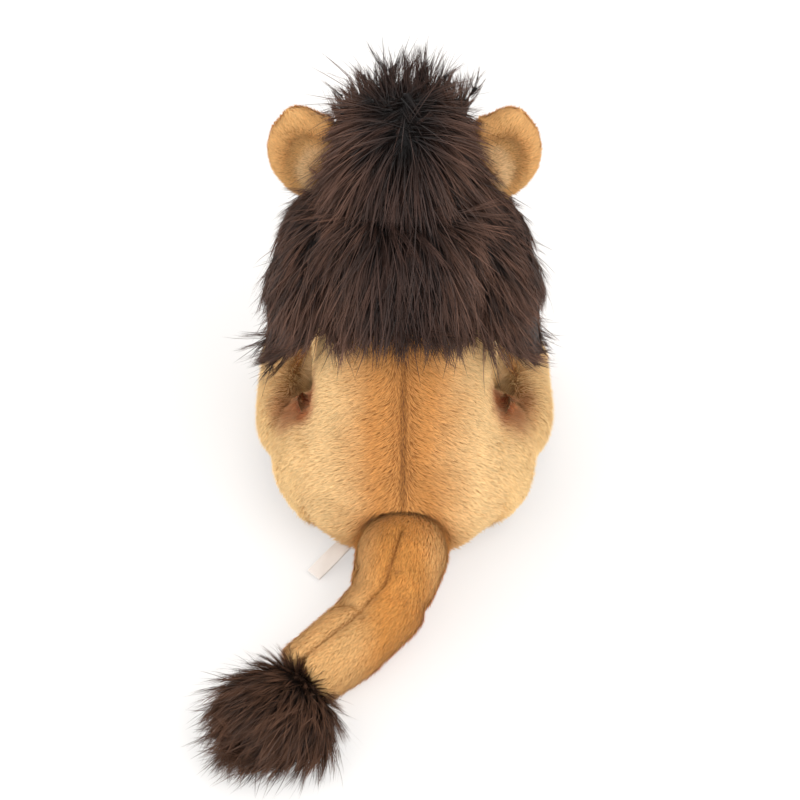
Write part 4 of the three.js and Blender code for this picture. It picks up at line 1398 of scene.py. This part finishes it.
@dataclass
class Mane:
    """The mane's four panels and the bib, with their locks."""

    panels: tuple[Panel, ...] = (
        Panel("mane_nape", locks=1150),
        Panel("mane_side_left", locks=1050, voxel=6 * MM, smoothing=45),
        Panel("mane_side_right", locks=1050, voxel=6 * MM, smoothing=45),
        Panel("mane_crown", locks=900, inset=1.5 * MM),
    )
    strays: int = 1500
    length: float = 44 * MM
    bib_locks: int = 450
    bib_length: float = 24 * MM
    bib_way: tuple[float, float, float] = (0, -0.1, -1)
    bib_voxel: float = 3 * MM
    bib_smoothing: int = 10
    # Places: the whorl that the locks leave, the bell's middle, the parting, the crown and the hem.
    whorl: tuple[float, float, float] = (-1 * MM, -36 * MM, 256 * MM)
    whorl_size: float = 30 * MM
    middle: tuple[float, float, float] = (0, -60 * MM, 200 * MM)
    parting: float = -60 * MM
    parting_behind: float = 6 * MM
    parting_ahead: float = 8 * MM
    crown_up: float = 238 * MM
    crown_height: float = 12 * MM
    hem_up: float = 174 * MM
    hem_below: float = 40 * MM
    hem_above: float = 35 * MM
    # Round the ears: bare, then short locks that are brushed aside, then full ones.
    bare_near_ear: tuple[float, float] = (6 * MM, 14 * MM)
    short_near_ear: tuple[float, float] = (28 * MM, 58 * MM)
    aside_near_ear: float = 32 * MM
    aside_width: float = 14 * MM
    # The nape between the ears, and the outer edges.
    nape_back: tuple[float, float] = (-46 * MM, -38 * MM)
    nape_half: float = 38 * MM
    edge_side: tuple[float, float] = (55 * MM, 80 * MM)
    # The tallest lock of the crown, and how uneven the locks are from clump to clump.
    tall_side: float = 2 * MM
    tall_width: float = 9 * MM
    clump_size: float = 9 * MM
    rag_width: float = 7 * MM
    rag_depth: float = 14 * MM
    rag_level: float = 0.5
    # How the locks are brushed: outward for each metre from the middle, back and up, and away from the whorl.
    # They drift from place to place, and spread the more, the further below the hem's height they grow.
    drift_size: float = 11 * MM
    low_height: float = 45 * MM
    flare: float = 6
    low_flare: float = 9
    ear_flare: float = 26
    fall: tuple[float, float] = (0.15, -0.9)
    crown_flare: float = 16
    fan: tuple[float, float] = (-0.55, 1.0)
    whorl_pull: float = 0.35
    crown_stand: float = 4
    loose: float = 0.4
    crown_looser: float = 0.5
    least_slope: float = 0.05
    # Shares of a full lock's length.
    hem_share: float = 0.65
    ear_share: float = 0.45
    nape_share: float = 0.9
    edge_share: float = 0.5
    crown_share: float = 0.42
    tall_share: float = 0.25
    clump_share: float = 0.55
    rag_share: float = 1.1

    def build(self) -> None:
        """Builds each panel and plants its locks."""
        shared = {"cover": self.outside, "long": self.lengths, "stands": self.stands}
        for index, panel in enumerate(self.panels):
            skin = Skin(f"{panel.node}_skin", "head", [panel.node], MANE_BROWN, "mane_pile",
                        voxel=panel.voxel, smoothing=panel.smoothing, lump_height=0,
                        inset=panel.inset).build()
            Pile(skin, panel.locks, self.length, self.flow, strand=Strand.LOCK, stand=0.22, tangle=0.2,
                 shortest_share=0.42, seed=31 + index, **shared).build()
            Pile(skin, self.strays, self.length, self.flow, strand=Strand.LOOSE, stand=0.35, tangle=0.3,
                 seed=51 + index, suffix="stray", **shared).build()
        bib = Skin("mane_chest_skin", "torso", ["mane_chest"], MANE_BROWN, "mane_pile", voxel=self.bib_voxel,
                   smoothing=self.bib_smoothing, lump_height=0).build()
        Pile(bib, self.bib_locks, self.bib_length, steady(*self.bib_way), strand=Strand.LOCK, stand=0.4,
             tangle=0.3, seed=41).build()

    def on_crown(self, points: np.ndarray) -> np.ndarray:
        """Finds the crown.

        Args:
            points: The places.

        Returns:
            1 ahead of the parting on top of the head, 0 behind and below it.
        """
        ahead = ramp(-points[:, 1], -self.parting - self.parting_behind, -self.parting + self.parting_ahead)
        return ahead * ramp(points[:, 2], self.crown_up, self.crown_up + self.crown_height)

    def outside(self, points: np.ndarray, ways: np.ndarray) -> np.ndarray:
        """Finds where locks grow: on the outside of the bell only, and clear of the ears.

        Args:
            points: The places.
            ways: The normals there.

        Returns:
            The share of the locks that each place keeps.
        """
        out = unit(points - np.array(self.middle))
        facing_out = np.sum(out * ways, axis=1) > self.least_slope
        return facing_out * ramp(self.from_ears(points), *self.bare_near_ear)

    def from_ears(self, points: np.ndarray) -> np.ndarray:
        """How far places are from the nearer ear's centre."""
        return np.minimum.reduce([distance(points, side.place(EAR)) for side in Side])

    def lengths(self, points: np.ndarray, ways: np.ndarray) -> np.ndarray:
        """Shorter locks at the hem, beside the ears and on the crown, where the middle ones are the tallest.

        Args:
            points: The places.
            ways: The normals there.

        Returns:
            The share of a full lock's length at each place.
        """
        low = ramp(points[:, 2], self.hem_up - self.hem_below, self.hem_up + self.hem_above)
        nape = ramp(points[:, 1], *self.nape_back) * (np.abs(points[:, 0]) < self.nape_half)
        clear = ramp(self.from_ears(points), *self.short_near_ear)
        beside = np.maximum(self.ear_share + (1 - self.ear_share) * clear, self.nape_share * nape)
        edge = 1 - self.edge_share * ramp(np.abs(points[:, 0]), *self.edge_side)
        tall = self.crown_share + self.tall_share * bell(points[:, 0] - self.tall_side, self.tall_width)
        crown = self.on_crown(points)
        clumps = 1 + self.clump_share * np.array([noise.noise(Vector(p) / self.clump_size) for p in points])
        ragged = np.array([noise.noise(Vector((x / self.rag_width, self.rag_level, y / self.rag_depth)))
                           for x, y, _ in points])
        clumps = clumps * (1 + self.rag_share * ragged * (1 - low))
        full = (self.hem_share + (1 - self.hem_share) * low) * beside * edge
        return clumps * (full * (1 - crown) + tall * crown)

    def stands(self, points: np.ndarray, ways: np.ndarray) -> np.ndarray:
        """Locks stand up on the front of the crown."""
        return 1 + self.crown_stand * self.on_crown(points)

    def flow(self, points: np.ndarray, ways: np.ndarray) -> np.ndarray:
        """From the whorl down the neck and outward, but up and forward on the crown.

        Args:
            points: The places.
            ways: The normals there.

        Returns:
            The way of the locks at each place.
        """
        crown = self.on_crown(points)[:, None]
        near_whorl = bell(distance(points, self.whorl), self.whorl_size)[:, None]
        away = unit(points - np.array(self.whorl)) * self.whorl_pull * near_whorl
        low = ramp(-points[:, 2], -self.hem_up, -self.hem_up + self.low_height)
        beside_ear = bell(self.from_ears(points) - self.aside_near_ear, self.aside_width)
        wide = self.flare + self.low_flare * low
        wide += self.ear_flare * beside_ear
        fall = away + self.brushed(points, wide, *self.fall)
        fan = self.brushed(points, self.crown_flare, *self.fan)
        loose = (self.loose + self.crown_looser * crown) * wander(points, self.drift_size)
        return fall * (1 - crown) + fan * crown + loose

    @staticmethod
    def brushed(points: np.ndarray, wide: float | np.ndarray, back: float, up: float) -> np.ndarray:
        """A way that leads outward the more, the further a place is from the middle.

        Args:
            points: The places.
            wide: How far outward it leads, for each metre.
            back: How far back it leads.
            up: How far up it leads.

        Returns:
            The way at each place.
        """
        even = np.ones(len(points))
        return np.stack([points[:, 0] * wide, even * back, even * up], axis=1)


@dataclass
class Label:
    """The folded satin tag in the seat seam, bare of print."""

    root: tuple[float, float, float] = (28 * MM, 28 * MM, 14 * MM)
    tip: tuple[float, float, float] = (52 * MM, 52 * MM, 2.5 * MM)
    width: float = 10 * MM
    fold: float = 0.9 * MM
    curl: float = 1.2 * MM
    ripple: float = 0.25 * MM
    waves_along: float = 9
    waves_across: float = 4
    start_share: float = 0.25
    stretches: int = 20
    threads: int = 8
    turns: int = 6

    def build(self) -> None:
        """Builds the tag as one sheet that goes out, folds over and comes back."""
        root, tip = Vector(self.root), Vector(self.tip)
        way = (tip - root).normalized()
        flat = way.cross(Vector((0, 0, 1))).normalized()
        lift = flat.cross(way)
        reach = (tip - root).length - self.fold / 2
        route = self.route(reach)
        points = []
        for along, rise in route:
            bend = self.curl * (along / reach) ** 2
            for column in range(self.threads + 1):
                across = column / self.threads - 0.5
                wave = self.ripple * math.sin(along / reach * self.waves_along + across * self.waves_across)
                points.append(root + way * along + lift * (rise + bend + wave) + flat * across * self.width)
        row = self.threads + 1
        faces = [(i * row + j, i * row + j + 1, (i + 1) * row + j + 1, (i + 1) * row + j)
                 for i in range(len(route) - 1) for j in range(self.threads)]
        mesh = bpy.data.meshes.new("label_tag")
        mesh.from_pydata(points, [], faces)
        mesh.shade_smooth()
        mesh.materials.append(dyed(SATIN))
        tag = new_object("label_tag", mesh)
        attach(tag, "torso")
        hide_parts("blank_label")

    def route(self, reach: float) -> list[tuple[float, float]]:
        """Finds the way along the tag: out, round its fold and back.

        Args:
            reach: How far the fold's middle is from the root.

        Returns:
            How far out and how high each place on the way is.
        """
        half = self.fold / 2
        shares = [self.start_share + (1 - self.start_share) * i / self.stretches
                  for i in range(self.stretches + 1)]
        turns = [math.pi * (i / self.turns - 0.5) for i in range(1, self.turns)]
        there = [(reach * share, -half) for share in shares]
        fold = [(reach + half * math.cos(turn), half * math.sin(turn)) for turn in turns]
        back = [(reach * share, half) for share in reversed(shares)]
        return there + fold + back


# Studio


@dataclass(frozen=True)
class Softbox:
    """A square lamp that faces the lion."""

    name: str
    place: tuple[float, float, float]
    size: float
    power: float
    aim: tuple[float, float, float] = (0, 0, 120 * MM)

    def build(self) -> None:
        """Hangs the lamp."""
        lamp = bpy.data.lights.new(self.name, "AREA")
        lamp.size = self.size
        lamp.energy = self.power
        holder = bpy.data.objects.new(self.name, lamp)
        holder.location = self.place
        way = Vector(self.aim) - Vector(self.place)
        holder.rotation_euler = way.to_track_quat("-Z", "Y").to_euler()
        bpy.context.scene.collection.objects.link(holder)


@dataclass(frozen=True)
class Studio:
    """The floor, the lights and the camera of the photograph. A pixel is how much of the lion one shows."""

    azimuth: float = 180.5
    elevation: float = 45.0
    distance: float = 1.3
    target: tuple[float, float, float] = (2 * MM, 3.4 * MM, 100 * MM)
    pixel: float = 0.57 * MM
    image_width: int = 800
    sensor: float = 36.0
    air_strength: float = 0.8
    floor_half: float = 6.0
    floor_colour: str = "f4f0ec"
    glow_share: float = 0.47
    lamps: tuple[Softbox, ...] = (
        Softbox("Key softbox", place=(-0.6, 0.8, 1.2), size=1.4, power=16),
        Softbox("Fill softbox", place=(1.1, 0.6, 0.8), size=1.4, power=8),
        Softbox("Front softbox", place=(0.2, -1.2, 0.9), size=1.2, power=6),
    )

    def build(self) -> None:
        """Builds the studio."""
        scene = bpy.context.scene
        scene.view_settings.view_transform = "Standard"
        self.build_world(scene)
        self.build_floor()
        for lamp in self.lamps:
            lamp.build()
        self.build_camera(scene)

    def build_world(self, scene: bpy.types.Scene) -> None:
        """Gives the world an even pale light.

        Args:
            scene: The scene that the world belongs to.
        """
        world = bpy.data.worlds.new("Studio air")
        world.use_nodes = True
        back = world.node_tree.nodes["Background"]
        back.inputs["Color"].default_value = (1, 1, 1, 1)
        back.inputs["Strength"].default_value = self.air_strength
        graph = Graph(world.node_tree)
        white = graph.add("ShaderNodeBackground", {"Color": (1, 1, 1, 1), "Strength": 1.0}).outputs[0]
        seen = graph.add("ShaderNodeLightPath").outputs["Is Camera Ray"]
        shown = graph.add("ShaderNodeMixShader", {0: seen, 1: back.outputs[0], 2: white}).outputs[0]
        world.node_tree.links.new(shown, world.node_tree.nodes["World Output"].inputs["Surface"])
        scene.world = world

    def build_floor(self) -> None:
        """Makes the white floor, which keeps the lion's shadow."""
        half = self.floor_half
        corners = [(-half, -half, 0), (half, -half, 0), (half, half, 0), (-half, half, 0)]
        mesh = bpy.data.meshes.new("floor")
        mesh.from_pydata(corners, [], [(0, 1, 2, 3)])
        floor = new_object("floor", mesh)
        material, graph, _ = new_material("White floor")
        paint = graph.add("ShaderNodeBsdfDiffuse", {"Color": rgba(self.floor_colour)}).outputs[0]
        glow = graph.add("ShaderNodeEmission", {"Color": (1, 1, 1, 1), "Strength": 1.0}).outputs[0]
        path = graph.add("ShaderNodeLightPath").outputs
        seen = graph.math("MAXIMUM", path["Is Camera Ray"], path["Is Glossy Ray"])
        share = graph.math("MULTIPLY", seen, self.glow_share)
        mixed = graph.add("ShaderNodeMixShader", {0: share, 1: paint, 2: glow}).outputs[0]
        material.node_tree.links.new(mixed, material.node_tree.nodes["Material Output"].inputs["Surface"])
        mesh.materials.append(material)

    def build_camera(self, scene: bpy.types.Scene) -> None:
        """Sets the camera where the photograph was taken from.

        Args:
            scene: The scene that the camera belongs to.
        """
        turn = math.radians(self.azimuth)
        rise = math.radians(self.elevation)
        level = math.cos(rise)
        way = Vector((math.sin(turn) * level, -math.cos(turn) * level, math.sin(rise)))
        lens = bpy.data.cameras.new("Camera")
        lens.sensor_width = self.sensor
        lens.lens = self.distance / self.pixel * self.sensor / self.image_width
        camera = bpy.data.objects.new("Camera", lens)
        camera.location = Vector(self.target) + way * self.distance
        camera.rotation_euler = (-way).to_track_quat("-Z", "Y").to_euler()
        scene.collection.objects.link(camera)
        scene.camera = camera


def main() -> None:
    """Builds the lion's looks and the studio, piece by piece."""
    logging.basicConfig(level=logging.INFO, format="%(message)s")
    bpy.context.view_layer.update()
    Studio().build()
    Torso().build()
    for side in Side:
        HindLeg(side).build()
        Foreleg(side).build()
        Ear(side).build()
    Tail().build()
    Head().build()
    Mane().build()
    Label().build()


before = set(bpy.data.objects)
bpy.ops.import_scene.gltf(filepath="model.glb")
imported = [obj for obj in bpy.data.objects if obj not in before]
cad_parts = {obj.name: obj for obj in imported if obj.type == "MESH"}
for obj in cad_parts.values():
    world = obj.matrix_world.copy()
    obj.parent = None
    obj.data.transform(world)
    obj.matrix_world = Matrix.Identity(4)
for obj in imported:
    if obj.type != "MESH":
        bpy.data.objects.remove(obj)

if __name__ == "__main__":
    main()
